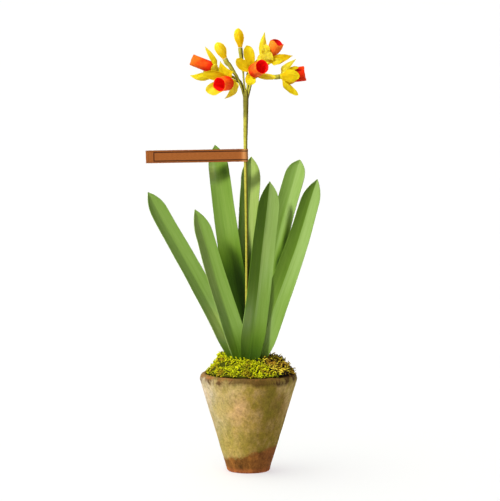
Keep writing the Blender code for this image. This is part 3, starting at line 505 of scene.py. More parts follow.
# Lengths are in mm, and pairs are for the left half and the right one. crease: points along the
# fold, from the foot up. halves: full widths. angles: degrees that the halves stand forward.
# opens: the length over which the fold opens. grow, tip: the lengths over which the leaf widens
# from its foot and narrows to its point. top: its width at the top, as a share. roundness: how
# blunt the point is. tones: how bright each half is painted, as painted light and shade from the
# way the lamp falls on it. shade: painted shade at the foot, from its top to its bottom, and how
# bright it is. Last, spots of painted shadow and painted highlight: height, place across from -1
# to 1, reach up, reach across, how bright.
LEAVES = {
    "leaf_a": dict(
        crease=((-5.5, -3, 68), (-7.0, -3, 95), (-13.7, -3, 119), (-28.4, -3.6, 147.3),
                (-46.5, -4.6, 181.5), (-66.0, -5.6, 217.6), (-85.2, -6.8, 251.7),
                (-99.6, -8, 280.4)),
        halves=(12.2, 12.2), angles=(52, 11), top=0.80, grow=56, tip=25,
        roundness=(2.6, 2.6), tones=(1.05, 0.97), shade=(150, 113, 0.45),
        light_and_shade_spots=((142, -0.2, 20, 0.9, 1.6),)),
    "leaf_b": dict(
        crease=((-6.0, -8, 68), (-6.5, -8, 95), (-9.0, -8, 119), (-18.6, -9, 149.9),
                (-29.8, -10.5, 184.2), (-39.2, -12, 216.3), (-46.1, -13, 241.3),
                (-53.0, -14, 263.8)),
        halves=(12.0, 12.0), angles=(52, 11), top=0.80, grow=58, tip=27,
        roundness=(2.1, 2.4), tones=(1.2, 0.94), shade=(150, 113, 0.45),
        light_and_shade_spots=((126, -1.0, 12, 0.1, 2.2),)),
    "leaf_c": dict(
        crease=((-7.0, 9.5, 68), (-6.5, 9.5, 95), (-5.5, 11.2, 119), (-10.5, 11.7, 160.6),
                (-17.5, 13, 205.7), (-23.0, 14.5, 242.7), (-28.0, 16, 280.7),
                (-33.4, 17, 325.7)),
        halves=(10.8, 14.2), angles=(6, 25), top=0.76, grow=74, tip=25,
        roundness=(2.6, 2.6), tones=(0.9, 0.9), shade=(246, 190, 0.22),
        light_and_shade_spots=((299, 0.5, 7, 0.5, 0.45), (299, -0.7, 9, 0.4, 1.65),
                (280, 0.6, 20, 0.5, 0.92))),
    "leaf_d": dict(
        crease=((0.5, 14.5, 68), (0.0, 14.5, 95), (-1.0, 17.0, 119), (-1.0, 21.4, 170),
                (-0.5, 22.2, 220), (1.0, 22.6, 265), (2.5, 22.8, 290), (2.8, 23, 313.5)),
        halves=(13.0, 11.5), angles=(37, 35), top=0.93, grow=74, tip=23,
        roundness=(2.6, 2.6), tones=(1.18, 1.3), shade=(235, 180, 0.35),
        light_and_shade_spots=((245, -1.0, 45, 0.3, 0.65), (291, 0.5, 9, 0.6, 1.2))),
    "leaf_e": dict(
        crease=((1.5, -13, 68), (1.5, -13, 95), (1.8, -13.8, 117), (5.5, -13.6, 153.3),
                (9.5, -12.3, 185.2), (13.4, -10.0, 223), (17.9, -7.8, 260.7), (21.0, -6, 291)),
        halves=(13.5, 13.3), angles=(40, -8), top=0.86, grow=52, tip=30,
        roundness=(2.1, 2.9), tones=(0.5, 1.12), shade=(165, 112, 0.27),
        light_and_shade_spots=((224, -0.5, 22, 0.6, 1.12), (178, -0.5, 24, 0.6, 1.28),
                (172, 0.5, 28, 0.6, 0.82), (148, -0.6, 22, 0.6, 1.4))),
    "leaf_f": dict(
        crease=((6.0, 8, 68), (6.2, 8, 95), (7.5, 6.2, 118.6), (14.5, 7.0, 160.7),
                (23.5, 12, 202.8), (32.6, 13.5, 243.8), (40.2, 14.8, 272.8), (51.4, 16, 311)),
        halves=(11.2, 12.2), angles=(9, 39), top=0.94, grow=74, tip=22,
        roundness=(3.4, 3.4), tones=(1.0, 1.1), shade=(200, 160, 0.45),
        light_and_shade_spots=((232, 0.7, 17, 0.3, 0.28), (210, 0.5, 14, 0.35, 0.12),
                (252, -0.2, 14, 0.35, 0.88))),
    "leaf_g": dict(
        crease=((8.2, 0, 68), (8.0, -0.6, 95), (9.4, -5.6, 117.0), (14.8, -8.1, 133.6),
                (21.6, -8.3, 153.5), (28.6, -7.2, 173.5), (36.0, -5.9, 193.2),
                (42.8, -4.2, 212.2), (48.4, -2.3, 228.0), (54.6, 0.0, 247.6),
                (61.2, 2.2, 270.4), (68.6, 4, 292.4)),
        halves=(13.2, 12.6), angles=(27, 28), opens=230, top=0.74, grow=46, tip=26,
        roundness=(2.2, 2.4), tones=(0.65, 1.07), shade=(140, 112, 0.75),
        light_and_shade_spots=((140, -0.2, 16, 0.7, 1.2), (165, 0.9, 25, 0.6, 0.86))),
}


def through(points, t):
    """A point at t, from 0 to 1, on the smooth curve through the given points."""
    spans = len(points) - 1
    k = min(int(t * spans), spans - 1)
    u = t * spans - k
    p1, p2 = Vector(points[k]), Vector(points[k + 1])
    p0 = Vector(points[k - 1]) if k else 2 * p1 - p2
    p3 = Vector(points[k + 2]) if k + 2 <= spans else 2 * p2 - p1
    return 0.5 * (2 * p1 + (p2 - p0) * u + (2 * p0 - 5 * p1 + 4 * p2 - p3) * u * u
                  + (3 * p1 - p0 - 3 * p2 + p3) * u ** 3)


def even_curve(points, steps):
    """Points at even steps of length along the smooth curve, and its length."""
    fine = [through(points, i / 400) for i in range(401)]
    runs = [0.0]
    for a, b in zip(fine, fine[1:]):
        runs.append(runs[-1] + (b.xyz - a.xyz).length)
    out = []
    k = 0
    for i in range(steps + 1):
        want = runs[-1] * i / steps
        while k < 399 and runs[k + 1] < want:
            k += 1
        out.append(fine[k].lerp(fine[k + 1], (want - runs[k]) / (runs[k + 1] - runs[k])))
    return out, runs[-1]


def sheet_mesh(name, rows, marks, thickness, tones=None):
    """A thin closed sheet from rows of points in mm, with a pair of map values for each, and
    a tone for each point."""
    bm = bmesh.new()
    tone = bm.verts.layers.float.new("tone")
    layer = bm.loops.layers.uv.new("cut")
    grid = [[bm.verts.new(Vector(p) * MM) for p in row] for row in rows]
    for i, row in enumerate(grid):
        for j, vert in enumerate(row):
            vert[tone] = tones[i][j] if tones else 1.0
    for i in range(len(grid) - 1):
        for j in range(len(grid[0]) - 1):
            corners = ((i, j), (i, j + 1), (i + 1, j + 1), (i + 1, j))
            face = bm.faces.new([grid[a][b] for a, b in corners])
            for loop, (a, b) in zip(face.loops, corners):
                loop[layer].uv = marks[a][b]
    flat = bpy.data.objects.new(name, finished(name, bm))
    bpy.context.scene.collection.objects.link(flat)
    solid = flat.modifiers.new("card", "SOLIDIFY")
    solid.thickness = thickness * MM
    solid.offset = 0.0
    return plain_mesh(flat)


def leaf_half(leaf, hand, run, length, foot_length):
    """The width of one half of a leaf at a run along its crease."""
    full, round_tip = leaf["halves"][hand], leaf["roundness"][hand]
    above = run - foot_length
    grown = LEAF_FOOT_WIDTH / 2
    if above > 0:
        grown += (full - grown) * (1 - max(1 - above / leaf["grow"], 0.0) ** 1.7)
    taper = 1 - (1 - leaf["top"]) * smooth_step((above - leaf["grow"]) / (length - foot_length))
    near = min((length - run) / leaf["tip"], 1.0)
    return max(grown * taper * (1 - (1 - near) ** round_tip), LEAF_TIP_WIDTH / 2)


def leaf_sheet(leaf, seed):
    """Rows of points across the folded card, each with its place on the flat card and its tone of
    painted light and shade."""
    steps = 10 * LEAF_ROWS
    fine, length = even_curve(leaf["crease"], steps)
    foot_length = (Vector(leaf["crease"][1]) - Vector(leaf["crease"][0])).length
    shade_top, shade_foot, shade = leaf["shade"]
    closed = 0.2 if "opens" in leaf else 0.35
    rows, marks, tones = [], [], []
    for i in range(LEAF_ROWS + 1):
        # rows lie closer together towards the tip
        share = 1 - (1 - i / LEAF_ROWS) ** 1.25
        k = min(int(share * steps), steps - 1)
        point = fine[k].lerp(fine[k + 1], share * steps - k)
        along = (fine[k + 1] - fine[k]).normalized()
        side = Vector((0, 1, 0)).cross(along).normalized()
        front = side.cross(along)
        run = length * share
        opened = smooth_step((run - foot_length) / leaf.get("opens", LEAF_OPENS))
        painted_shade = 1 - smooth_step((point.z - shade_foot) / (shade_top - shade_foot))
        row, mark, tone = [], [], []
        for hand, way in ((0, -1), (1, 1)):
            half = leaf_half(leaf, hand, run, length, foot_length)
            angle = math.radians(leaf["angles"][hand]) * (closed + (1 - closed) * opened)
            out_way = side * way * math.cos(angle) + front * math.sin(angle)
            lift = front * math.cos(angle) - side * way * math.sin(angle)
            for s in HALF_STEPS if hand else HALF_STEPS[:0:-1]:
                bow = 0.5 * math.sin(math.pi * s) * min(half / 8, 1)
                ripple = noise.noise(Vector((run / 26, way * 3.0, seed))) * 0.5 * s * s
                soften = 0.25 * (1 - min(s / 0.08, 1)) ** 2
                row.append(point + out_way * half * s + lift * (ripple - bow + soften))
                mark.append((way * half * s / 100, run / 100))
                # painted light and shade: each half lighter or darker as the lamp falls on it,
                # spots of painted shadow and highlight, and painted shade at the foot
                own = 1 + (leaf["tones"][hand] - 1) * smooth_step((point.z - 130) / 70)
                for z, across, tall, wide, factor in leaf["light_and_shade_spots"]:
                    near = ((point.z - z) / tall) ** 2 + ((way * s - across) / wide) ** 2
                    own *= 1 + (factor - 1) * math.exp(-near)
                tone.append(own * (1 - painted_shade) + shade * own * painted_shade)
        rows.append(row)
        marks.append(mark)
        tones.append(tone)
    return rows, marks, tones


# Green card: dyed paper board, calendered smooth, so it has a soft sheen. Its fibres lie along
# the strip and show as faint streaks. Its colour is multiplied by a tone of painted light and
# shade, darker towards the foot.
green_card, tree, shader = new_material("green_card")
cut = add(tree, "UVMap", uv_map="cut")
streaked = add(tree, "Mapping", {"Vector": cut, "Scale": (1.0, 0.035, 1.0)})
fibres = add(tree, "TexNoise", {"Vector": streaked, "Scale": 75.0, "Detail": 5.0,
                                "Roughness": 0.65})
broad = add(tree, "TexNoise", {"Vector": streaked, "Scale": 16.0, "Detail": 2.0})
streak = add(tree, "Math", (fibres, broad), operation="ADD")
green = add(tree, "Mix", {0: add(tree, "MapRange", (streak, 0.7, 1.3)), 6: "638233",
                          7: "769148"}, data_type="RGBA")
# in painted shade the colour loses its blue first, and where the painted light is strong it turns
# pale like a painted sheen
dye_and_light = add(tree, "Attribute", attribute_name="tone").outputs["Fac"]
painted_shade = add(tree, "Math", (dye_and_light, 1.0), operation="MINIMUM")
tints = []
for power, top, most in ((0.3, 1.3, 1.2), (2.0, 1.08, 1.28)):
    tint = add(tree, "Math", (painted_shade, power), operation="POWER")
    tint = add(tree, "Math", (dye_and_light, tint), operation="MULTIPLY")
    faded = add(tree, "MapRange", (dye_and_light, 1.0, top, 1.0, most))
    tints.append(add(tree, "Math", (tint, faded), operation="MULTIPLY"))
dye_and_light = add(tree, "CombineXYZ", (tints[0], dye_and_light, tints[1]))
green = add(tree, "Mix", {0: 1.0, 6: green, 7: dye_and_light}, data_type="RGBA", blend_type="MULTIPLY")
grain = add(tree, "Bump", {"Height": fibres, "Strength": 0.12, "Distance": 0.0004})
feed(tree, shader, {"Base Color": green, "Roughness": 0.5, "Specular IOR Level": 0.12,
                    "Normal": grain})

for seed, (name, leaf) in enumerate(LEAVES.items()):
    rows, marks, tones = leaf_sheet(leaf, seed)
    card = sheet_mesh(name + "_card", rows, marks, CARD, tones)
    show(name + "_card", card, green_card, name, 50)

# Stem.
# A bundle of thin wires, wound tightly with olive floral tape from the moss upwards. At the
# head the wires part, and each carries a flower or a bud, its tape stretched round the joint.
TAPE_LAP = 5.0
GAP = 0.3
STALK_END = 4.5  # the straight end of a stalk
SHORT_END = 1.0  # the same on the stalk that bends close under its flower
# points along the bundle's middle, each with its radius, in mm
STEM = ((-1.5, 0, 68, 1.4), (-1.9, 0, 120, 1.4), (-1.9, 0, 172, 1.4), (-1.9, 0, 237, 1.45),
        (-2.9, 0, 306, 1.65), (-3.0, 0, 318, 1.7), (-3.0, 0, 328, 1.95), (-2.7, 0, 362, 2.6),
        (-2.7, 0, 374, 2.8), (-2.8, 0, 379, 2.3), (-2.8, 0, 381.5, 1.2))
# the radius at a stalk's end, and such points up to its straight end, under its flower or bud
STALKS = {
    "bud_1": (2.5, ((-3.9, -0.8, 372, 1.1), (-5.9, -1, 380.9, 1.1), (-8.3, -1, 387.7, 1.2),
                    (-11.2, -1, 394.0, 1.4), (-15.2, -1, 400.3, 1.9), (-19.0, -1, 406.3, 2.2))),
    "bud_2": (2.2, ((-2.8, 0.6, 372, 1.2), (-3.3, 1.2, 380.0, 1.0), (-4.3, 1.6, 387.0, 0.9),
                    (-5.0, 1.9, 394.4, 0.9), (-5.5, 2.2, 401.2, 1.2), (-6.6, 1.4, 409.6, 1.8))),
    "1": (2.1, ((-3.3, 0.8, 372, 1.0), (-4.5, 1.8, 381.4, 1.05), (-6.2, 2.6, 386.4, 1.1),
                (-9.6, 3.6, 391.0, 1.3), (-16.5, 4.2, 394.6, 1.3), (-22.5, 3.2, 397.8, 1.5))),
    "2": (1.5, ((-3.9, 0.2, 372, 0.9), (-5.4, 0.2, 381.4, 0.95), (-7.4, 0.4, 386.4, 1.0),
                (-9.2, 0.4, 389.4, 1.1))),
    "3": (2.1, ((-1.9, 0.6, 372, 1.2), (-1.5, 1.2, 380.0, 1.3), (-0.6, 1.8, 386.4, 1.3),
                (-0.4, 1.8, 391.8, 1.5))),
    "4": (2.1, ((-1.6, 0.8, 372, 1.2), (-0.6, 1.8, 380.0, 1.3), (0.6, 3.2, 386.4, 1.3),
                (2.4, 5.6, 393.4, 1.3), (6.0, 6.6, 399.8, 1.3), (12.4, 4.8, 404.6, 1.3))),
    "5": (2.4, ((-1.3, 0.2, 372, 1.2), (0.4, 0.8, 379.5, 1.3), (2.1, 1.8, 386.2, 1.3),
                (4.2, 2.4, 391.2, 1.3), (7.8, 2.6, 394.8, 1.4), (13.4, 1.8, 395.4, 1.5),
                (21.3, 0.6, 395.0, 1.8))),
}
# Base and mouth of the cup, and its radius, flare and narrowing. dye: how far its outside has
# faded, which also paints shade on cups that lie under petals. glow: a painted glow on its inside
# and its outside, standing in for light let through; the inside one also paints the red brighter.
# Corners of the rolled sheet stand up on some rims: where each points, its height and its spread.
# For each petal: a point in the middle, the tip, the width, where it is widest, how blunt its tip
# is, its roll in degrees from facing the front, how far its edges curl, and how pale it is, raised
# as painted light on petals that lie in a shadow.
FLOWERS = {
    "1": dict(
        base=(-30.2, 2, 401.0), mouth=(-56.3, 5, 411.2), cup=(5.6, 5.0, 0.2), dye_and_light=0.15,
        glow=(0.06, 0.0), corners=(),
        petals=(((-35.2, -1, 412.7), (-43.0, 0, 424.2), 5.8, 0.35, 0.6, 10, 0.12, 0.65),
                ((-43.9, -9, 395.2), (-57.6, -6, 396.0), 8.4, 0.5, 0.1, 0, 0.12, 0.55),
                ((-38.0, 12, 404.8), (-44.0, 13.5, 405.6), 6.0, 0.55, 0.5, 0, 0.14, 0.6),
                ((-38.0, 11, 400.0), (-45.0, 15, 399.0), 7.0, 0.55, 0.5, 0, 0.14, 0.6),
                ((-33.4, -3.6, 403.4), (-35.8, -5.0, 405.6), 9.0, 0.5, 0.9, 10, 0.06, 1.5),
                ((-33.5, 11, 401.0), (-36.5, 18, 402.0), 5.0, 0.5, 0.5, 0, 0.14, 0.7))),
    "2": dict(
        base=(-13.9, -4, 389.7), mouth=(-28.6, -21.0, 388.1), cup=(7.1, 8.0, 0.0), dye_and_light=0.05,
        glow=(0.12, 0.2), corners=(((-1.0, -0.3, -0.25), 1.6, 0.5), ((0.2, 0.2, 1.0), 1.2, 0.6)),
        petals=(((-23.2, -3, 397.0), (-28.0, -1, 409.8), 16.5, 0.3, -0.1, 0, 0.10, 0.4),
                ((-34.1, -9, 396.3), (-45.0, -11.5, 396.6), 9.5, 0.5, 0.4, 0, 0.14, 0.35),
                ((-32.6, -8, 383.8), (-40.0, -10, 378.6), 12.8, 0.6, 1.0, 10, 0.08, 0.8),
                ((-15.2, -1, 380.6), (-23.6, 0, 372.8), 8.6, 0.35, 0.0, 20, 0.06, 1.2),
                ((-12.3, -8, 386.4), (-13.2, -9, 380.0), 5.4, 0.5, 0.5, 10, 0.06, 1.6),
                ((-16.0, 4, 383.0), (-17.5, 10, 379.5), 9.0, 0.5, 0.5, 0, 0.12, 0.3))),
    "3": dict(
        base=(1.8, -3, 398.2), mouth=(13.2, -27.4, 405.8), cup=(7.0, 9.0, 0.2), dye_and_light=0.1,
        glow=(0.14, 0.0), corners=(((1.0, 0.0, -0.3), 1.2, 0.9),),
        petals=(((1.0, -6, 414.4), (-1.9, -6, 425.7), 10.8, 0.6, 0.85, 0, 0.12, 0.5),
                ((-5.4, -5, 405.9), (-11.6, -6, 413.0), 10.0, 0.6, 0.85, 0, 0.12, 0.3),
                ((2.1, -13, 392.3), (3.3, -15, 387.2), 10.8, 0.55, 1.0, 0, 0.10, 0.5),
                ((17.3, -4, 394.9), (27.0, -5, 394.4), 6.4, 0.5, 0.8, -25, 0.05, 1.0),
                ((8.2, -2, 407.3), (10.6, -2, 412.2), 6.0, 0.55, 0.6, 0, 0.06, 0.9))),
    "4": dict(
        base=(20.6, 0, 409.7), mouth=(27.6, -4.8, 427.4), cup=(7.0, 15.0, 0.0), dye_and_light=0.36,
        glow=(0.02, 0.0), corners=(((-0.5, -1.0, 0.2), 3.6, 0.7), ((1.0, -0.5, 0.3), 3.0, 0.5),
                                   ((0.1, 1.0, 0.4), 2.6, 0.9)),
        petals=(((14.6, 1, 423.0), (16.0, 2, 438.5), 9.0, 0.4, 0.0, 0, -0.25, 0.8),
                ((17.2, -8.2, 419.3), (17.2, -8.2, 427.0), 8.6, 0.6, 1.0, 0, 0.10, 0.95),
                ((18.2, -8.5, 412.4), (22.1, -10.5, 419.5), 12.4, 0.5, 1.0, 0, 0.04, 2.0),
                ((31.0, -7.2, 412.6), (43.4, -6.4, 415.6), 9.6, 0.42, 0.1, -8, 0.03, 0.1),
                ((14.2, -6, 411.6), (8.6, -7, 410.0), 12.5, 0.5, 0.8, 25, 0.04, 1.2),
                ((25.6, -8, 410.0), (34.5, -8, 411.6), 7.5, 0.5, 0.4, -12, 0.05, 0.6))),
    "5": dict(
        base=(31.2, 0, 394.8), mouth=(54.9, 3, 397.6), cup=(7.2, 9.0, 0.0), dye_and_light=-0.5,
        glow=(0.03, 0.0), corners=(((0.2, -0.6, -1.0), 1.2, 0.5), ((0.0, -0.4, 1.0), 0.8, 0.4)),
        petals=(((40.6, -9, 395.8), (50.6, -9.5, 395.4), 12.8, 0.5, 0.8, 0, 0.12, 0.3),
                ((37.4, -7, 404.2), (46.8, -9, 412.3), 7.6, 0.35, 0.0, 8, 0.04, 1.5),
                ((42.6, -5.9, 402.6), (49.6, -5.8, 404.0), 4.0, 0.5, 0.4, 0, 0.06, 0.3),
                ((39.0, -3, 384.6), (49.2, -3, 376.6), 6.8, 0.5, 1.0, -10, 0.10, 0.5),
                ((40.0, 10, 391.0), (48.0, 15, 391.0), 8.5, 0.5, 0.4, 0, 0.12, 0.3))),
}
# base, tip, greatest radius, the turn of its folds in radians, and how faded it is
BUDS = {
    "bud_1": ((-23.4, -1, 412.7), (-31.4, -1, 428.6), 5.7, 0.9, 0.8),
    "bud_2": ((-8.25, 0.38, 423.6), (-10.4, 0, 442.6), 5.0, 1.1, 0.05),
}


def head(name):
    """Where a stalk's flower or bud starts, and the direction it points in."""
    if name in BUDS:
        base, tip = BUDS[name][:2]
    else:
        base, tip = FLOWERS[name]["base"], FLOWERS[name]["mouth"]
    return Vector(base), (Vector(tip) - Vector(base)).normalized()


def winding_tree():
    """Geometry nodes that wind a round skin on each line, and mark the run and the turn."""
    group, given = new_group("tape_winding", (
        ("Wires", "Geometry"), ("Sides", "Int"), ("Tape", "Material")), "Stem")
    line = add(group, "GeometryNodeMeshToCurve", (given["Wires"],))
    line = add(group, "GeometryNodeStoreNamedAttribute", {
        "Geometry": line, "Name": "run",
        "Value": add(group, "GeometryNodeSplineParameter").outputs["Length"]})
    section = add(group, "GeometryNodeCurvePrimitiveCircle", {
        "Resolution": given["Sides"], "Radius": 1.0})
    section = add(group, "GeometryNodeStoreNamedAttribute", {
        "Geometry": section, "Name": "turn", "Value": add(group, "GeometryNodeInputPosition")},
        data_type="FLOAT_VECTOR")
    skin = add(group, "GeometryNodeCurveToMesh", {
        "Curve": line, "Profile Curve": section, "Fill Caps": True,
        "Scale": add(group, "GeometryNodeInputNamedAttribute", ("thick",))})
    plain = add(group, "GeometryNodeRealizeInstances", (skin,))
    dressed = add(group, "GeometryNodeSetMaterial", {"Geometry": plain, "Material": given["Tape"]})
    add(group, "NodeGroupOutput", (dressed,))
    return group


# Floral tape: waxed crepe paper, stretched as it is wound. It overlaps in a slanted band each
# 5 mm and has a faint wax sheen. Painted shade browns the side that faces away from the lamp.
floral_tape, tree, shader = new_material("floral_tape")
run, painted_shade_side = [add(tree, "Attribute", attribute_name=name).outputs["Fac"]
                for name in ("run", "painted_shade_side")]
turn = add(tree, "Attribute", attribute_name="turn").outputs["Vector"]
turn = add(tree, "SeparateXYZ", (turn,)).outputs
angle = add(tree, "Math", (turn["Y"], turn["X"]), operation="ARCTAN2")
angle = add(tree, "Math", (angle, 2 * math.pi), operation="DIVIDE")
laps = add(tree, "Math", (run, TAPE_LAP * MM), operation="DIVIDE")
laps = add(tree, "Math", (laps, angle), operation="ADD")
lap = add(tree, "Math", (laps,), operation="FRACT")
crepe = add(tree, "TexNoise", {"Vector": add(tree, "TexCoord").outputs["Object"],
                               "Scale": 220.0, "Detail": 4.0})
olive = "787612"
for cover, coat in ((crepe, "B8B246"),
                    (add(tree, "MapRange", (lap, 0.8, 1.0, 0.0, 0.5)), "5A5214"),
                    # painted shade on the side away from the lamp
                    (painted_shade_side, "4A3C0A")):
    olive = add(tree, "Mix", {0: cover, 6: olive, 7: coat}, data_type="RGBA")
relief = add(tree, "Bump", {"Height": lap, "Strength": 0.3, "Distance": 0.0003})
relief = add(tree, "Bump", {"Height": crepe, "Strength": 0.2, "Distance": 0.0003,
                            "Normal": relief})
feed(tree, shader, {"Base Color": olive, "Roughness": 0.6, "Specular IOR Level": 0.2,
                    "Normal": relief})

bm = bmesh.new()
thick = bm.verts.layers.float.new("thick")
wires = [(STEM, 90)]
for name, (end_radius, points) in STALKS.items():
    base, axis = head(name)
    straight = SHORT_END if name == "4" else STALK_END
    near, end = base - axis * (GAP + straight), base - axis * GAP
    wires.append((points + ((*near, end_radius), (*end, end_radius)), 36))
for points, steps in wires:
    last = None
    for x, y, z, radius in even_curve(points, steps)[0]:
        vert = bm.verts.new((x * MM, y * MM, z * MM))
        vert[thick] = radius * MM
        if last:
            bm.edges.new((last, vert))
        last = vert
wound = run_nodes("wires", finished("wire_lines", bm), winding_tree(),
                  {"Sides": 16, "Tape": floral_tape})
# painted shade: the side that faces right, away from the lamp, is browned, less so far up the left
# stalks
painted_shade_side = wound.attributes.new("painted_shade_side", "FLOAT", "POINT")
painted_shade_side.data.foreach_set("value", [
    (0.95 - 0.6 * smooth_step((v.co.z - 0.386) / 0.01) * smooth_step((-0.006 - v.co.x) / 0.004))
    * smooth_step(v.normal.x * 1.2) for v in wound.vertices])
show("taped_stem", wound, floral_tape, "stem", 50)

# Flowers.
# Each has pointed petals of yellow crepe paper, glued by their roots to a small collar, and a
# cup of orange paper, red inside, rolled to a tube and glued in the collar.
COLLAR_LENGTH = 5.0
COLLAR_FLOOR = 0.9
COLLAR_WALL = 1.2
COLLAR_LIP = 0.7
COLLAR_BORE = 1.0
COLLAR_STEPS = 28
# how pale the collars are painted, raised as painted light to lift the shade on them
COLLAR_TONE = 0.9
CUP_NECK = 2.6
CUP_FOOT_RADIUS = 2.1
CUP_PAPER = 0.35
CUP_STEPS = 64
CUP_LEVELS = 20
PETAL_PAPER = 0.3
PETAL_ROWS = 22
PETAL_COLUMNS = 12
PETAL_ROOT_AT = 1.6
PETAL_ROOT_RADIUS = 3.3


def cup_radius(run, length, cup):
    radius, flare, narrowing = cup
    opened = smooth_step((run - CUP_NECK) / flare)
    return (CUP_FOOT_RADIUS + (radius - CUP_FOOT_RADIUS) * opened
            - narrowing * smooth_step((run / length - 0.45) / 0.55))


def turned_rings(profile, base, axis, steps, shape=None):
    """Rings of points round an axis for a profile of radius and run, in mm."""
    turn = Vector((0, 0, 1)).rotation_difference(axis)
    rings = []
    for r, run in profile:
        ring = []
        for i in range(steps):
            a = 2 * math.pi * i / steps
            radius, height = shape(r, run, a) if shape else (r, run)
            point = Vector((radius * math.cos(a), radius * math.sin(a), height))
            ring.append(base + turn @ point)
        rings.append(ring)
    return rings


def petal_width(t, width, widest, blunt):
    """The petal's width at t, from its root to its tip."""
    if t < widest:
        return width * (0.48 + 0.52 * math.sin(math.pi / 2 * t / widest))
    fall = (t - widest) / (1 - widest)
    return max(width * (1 - fall ** (1.7 + 0.9 * blunt)) ** (1 - 0.42 * blunt), 0.5)


def petal_sheet(base, axis, petal, seed):
    """Rows of points across one petal, cupped and slightly crumpled, and its map values."""
    knee, tip, width, widest, blunt, roll, curl, _ = petal
    knee, tip = Vector(knee), Vector(tip)
    radial = knee - base
    radial = (radial - axis * radial.dot(axis)).normalized()
    root = base + axis * PETAL_ROOT_AT + radial * PETAL_ROOT_RADIUS
    pull = 2 * knee - (root + tip) / 2
    rows, marks = [], []
    for i in range(PETAL_ROWS + 1):
        t = i / PETAL_ROWS
        mid = root * (1 - t) ** 2 + pull * (2 * t * (1 - t)) + tip * t * t
        along = ((pull - root) * (1 - t) + (tip - pull) * t).normalized()
        shown = along.cross(Vector((0, 1, 0))).normalized()
        shown.rotate(Matrix.Rotation(math.radians(roll), 3, along))
        ring = axis.cross(radial).normalized()
        if ring.dot(shown) < 0:
            ring = -ring
        side = ring.lerp(shown, 0.15 + 0.85 * smooth_step(t / 0.45))
        side = (side - along * side.dot(along)).normalized()
        inward = side.cross(along)
        if inward.dot(axis) < 0:
            inward = -inward
        half = petal_width(t, width, widest, blunt) / 2
        row, mark = [], []
        for j in range(PETAL_COLUMNS + 1):
            across = 2 * j / PETAL_COLUMNS - 1
            lift = 2 * half * curl * abs(across) ** 1.6
            crumple = noise.noise(Vector((across * 1.5, t * 2.4, seed * 7.3)))
            lift += 0.7 * crumple * min(half / 3, 1)
            edge = noise.noise(Vector((across * 2, t * 6, seed * 3.1))) * across * across
            row.append(mid + side * (across * half * (1 + 0.09 * edge)) + inward * lift)
            mark.append((across * half / 100 + 0.5, t))
        rows.append(row)
        marks.append(mark)
    return rows, marks


def joined(name, meshes):
    """Several meshes as one, with their maps kept."""
    bm = bmesh.new()
    for mesh in meshes:
        bm.from_mesh(mesh)
    return finished(name, bm)


# Yellow crepe: thin matte paper with fine ribs along the petal, and some light comes through it,
# shown by subsurface light and an even painted glow that lifts the shaded parts. The outer petals
# have faded pale, and petals that lie in a shadow are painted paler as well; all turn golden
# towards the root. The ribs are drawn coarser than in life.
yellow_crepe, tree, shader = new_material("yellow_crepe")
cut = add(tree, "UVMap", uv_map="cut")
ribs = add(tree, "Mapping", {"Vector": cut, "Scale": (1.0, 0.02, 1.0)})
ribs = add(tree, "TexNoise", {"Vector": ribs, "Scale": 110.0, "Detail": 3.0})
stain = add(tree, "TexNoise", {"Vector": add(tree, "TexCoord").outputs["Object"],
                               "Scale": 190.0, "Detail": 3.0})
# how pale each petal is: partly its fading, partly painted light on petals that lie in a shadow
pale_and_lit = add(tree, "Attribute", attribute_name="tone").outputs["Fac"]
rise = add(tree, "Math", (stain, pale_and_lit), operation="ADD")
along = add(tree, "SeparateXYZ", (cut,)).outputs["Y"]
rise = add(tree, "Math", (along, 0.35, rise), operation="MULTIPLY_ADD")
hue = add(tree, "ValToRGB", (add(tree, "MapRange", (rise, 0.45, 1.75)),),
          ((0.0, "8E6202"), (0.3, "AA9202"), (0.6, "B0A60C"), (1.0, "BEB834")))
furrow = add(tree, "MapRange", (ribs, 0.3, 0.7, 0.84, 1.08))
yellow = add(tree, "Mix", {0: 1.0, 6: hue, 7: furrow}, data_type="RGBA", blend_type="MULTIPLY")
crinkle = add(tree, "Bump", {"Height": ribs, "Strength": 0.35, "Distance": 0.0005})
# the emission is a painted glow
feed(tree, shader, {
    "Base Color": yellow, "Roughness": 0.75, "Specular IOR Level": 0.08,
    "Subsurface Weight": 0.5, "Subsurface Radius": (1.0, 0.85, 0.05),
    "Subsurface Scale": 0.8 * MM, "Emission Color": "FFB800", "Emission Strength": 0.2,
    "Normal": crinkle})

# Orange paper: matte, dyed through, with a red face that is turned inwards. The light that comes
# through the thin paper is painted in as a glow, on the inside of each cup and on the outside of
# one, and the red inside is also painted brighter on some cups.
orange_paper, tree, shader = new_material("orange_paper")
inner, dye_and_light, glow = [add(tree, "Attribute", attribute_name=name).outputs["Fac"]
                    for name in ("inner", "dye_and_light", "through")]
stain = add(tree, "TexNoise", {"Vector": add(tree, "TexCoord").outputs["Object"],
                               "Scale": 150.0, "Detail": 4.0})
faded = add(tree, "Math", (stain, dye_and_light), operation="ADD")
faded = add(tree, "MapRange", (faded, 0.4, 1.4))
orange = add(tree, "Mix", {0: faded, 6: "C42400", 7: "EC7A20"}, data_type="RGBA")
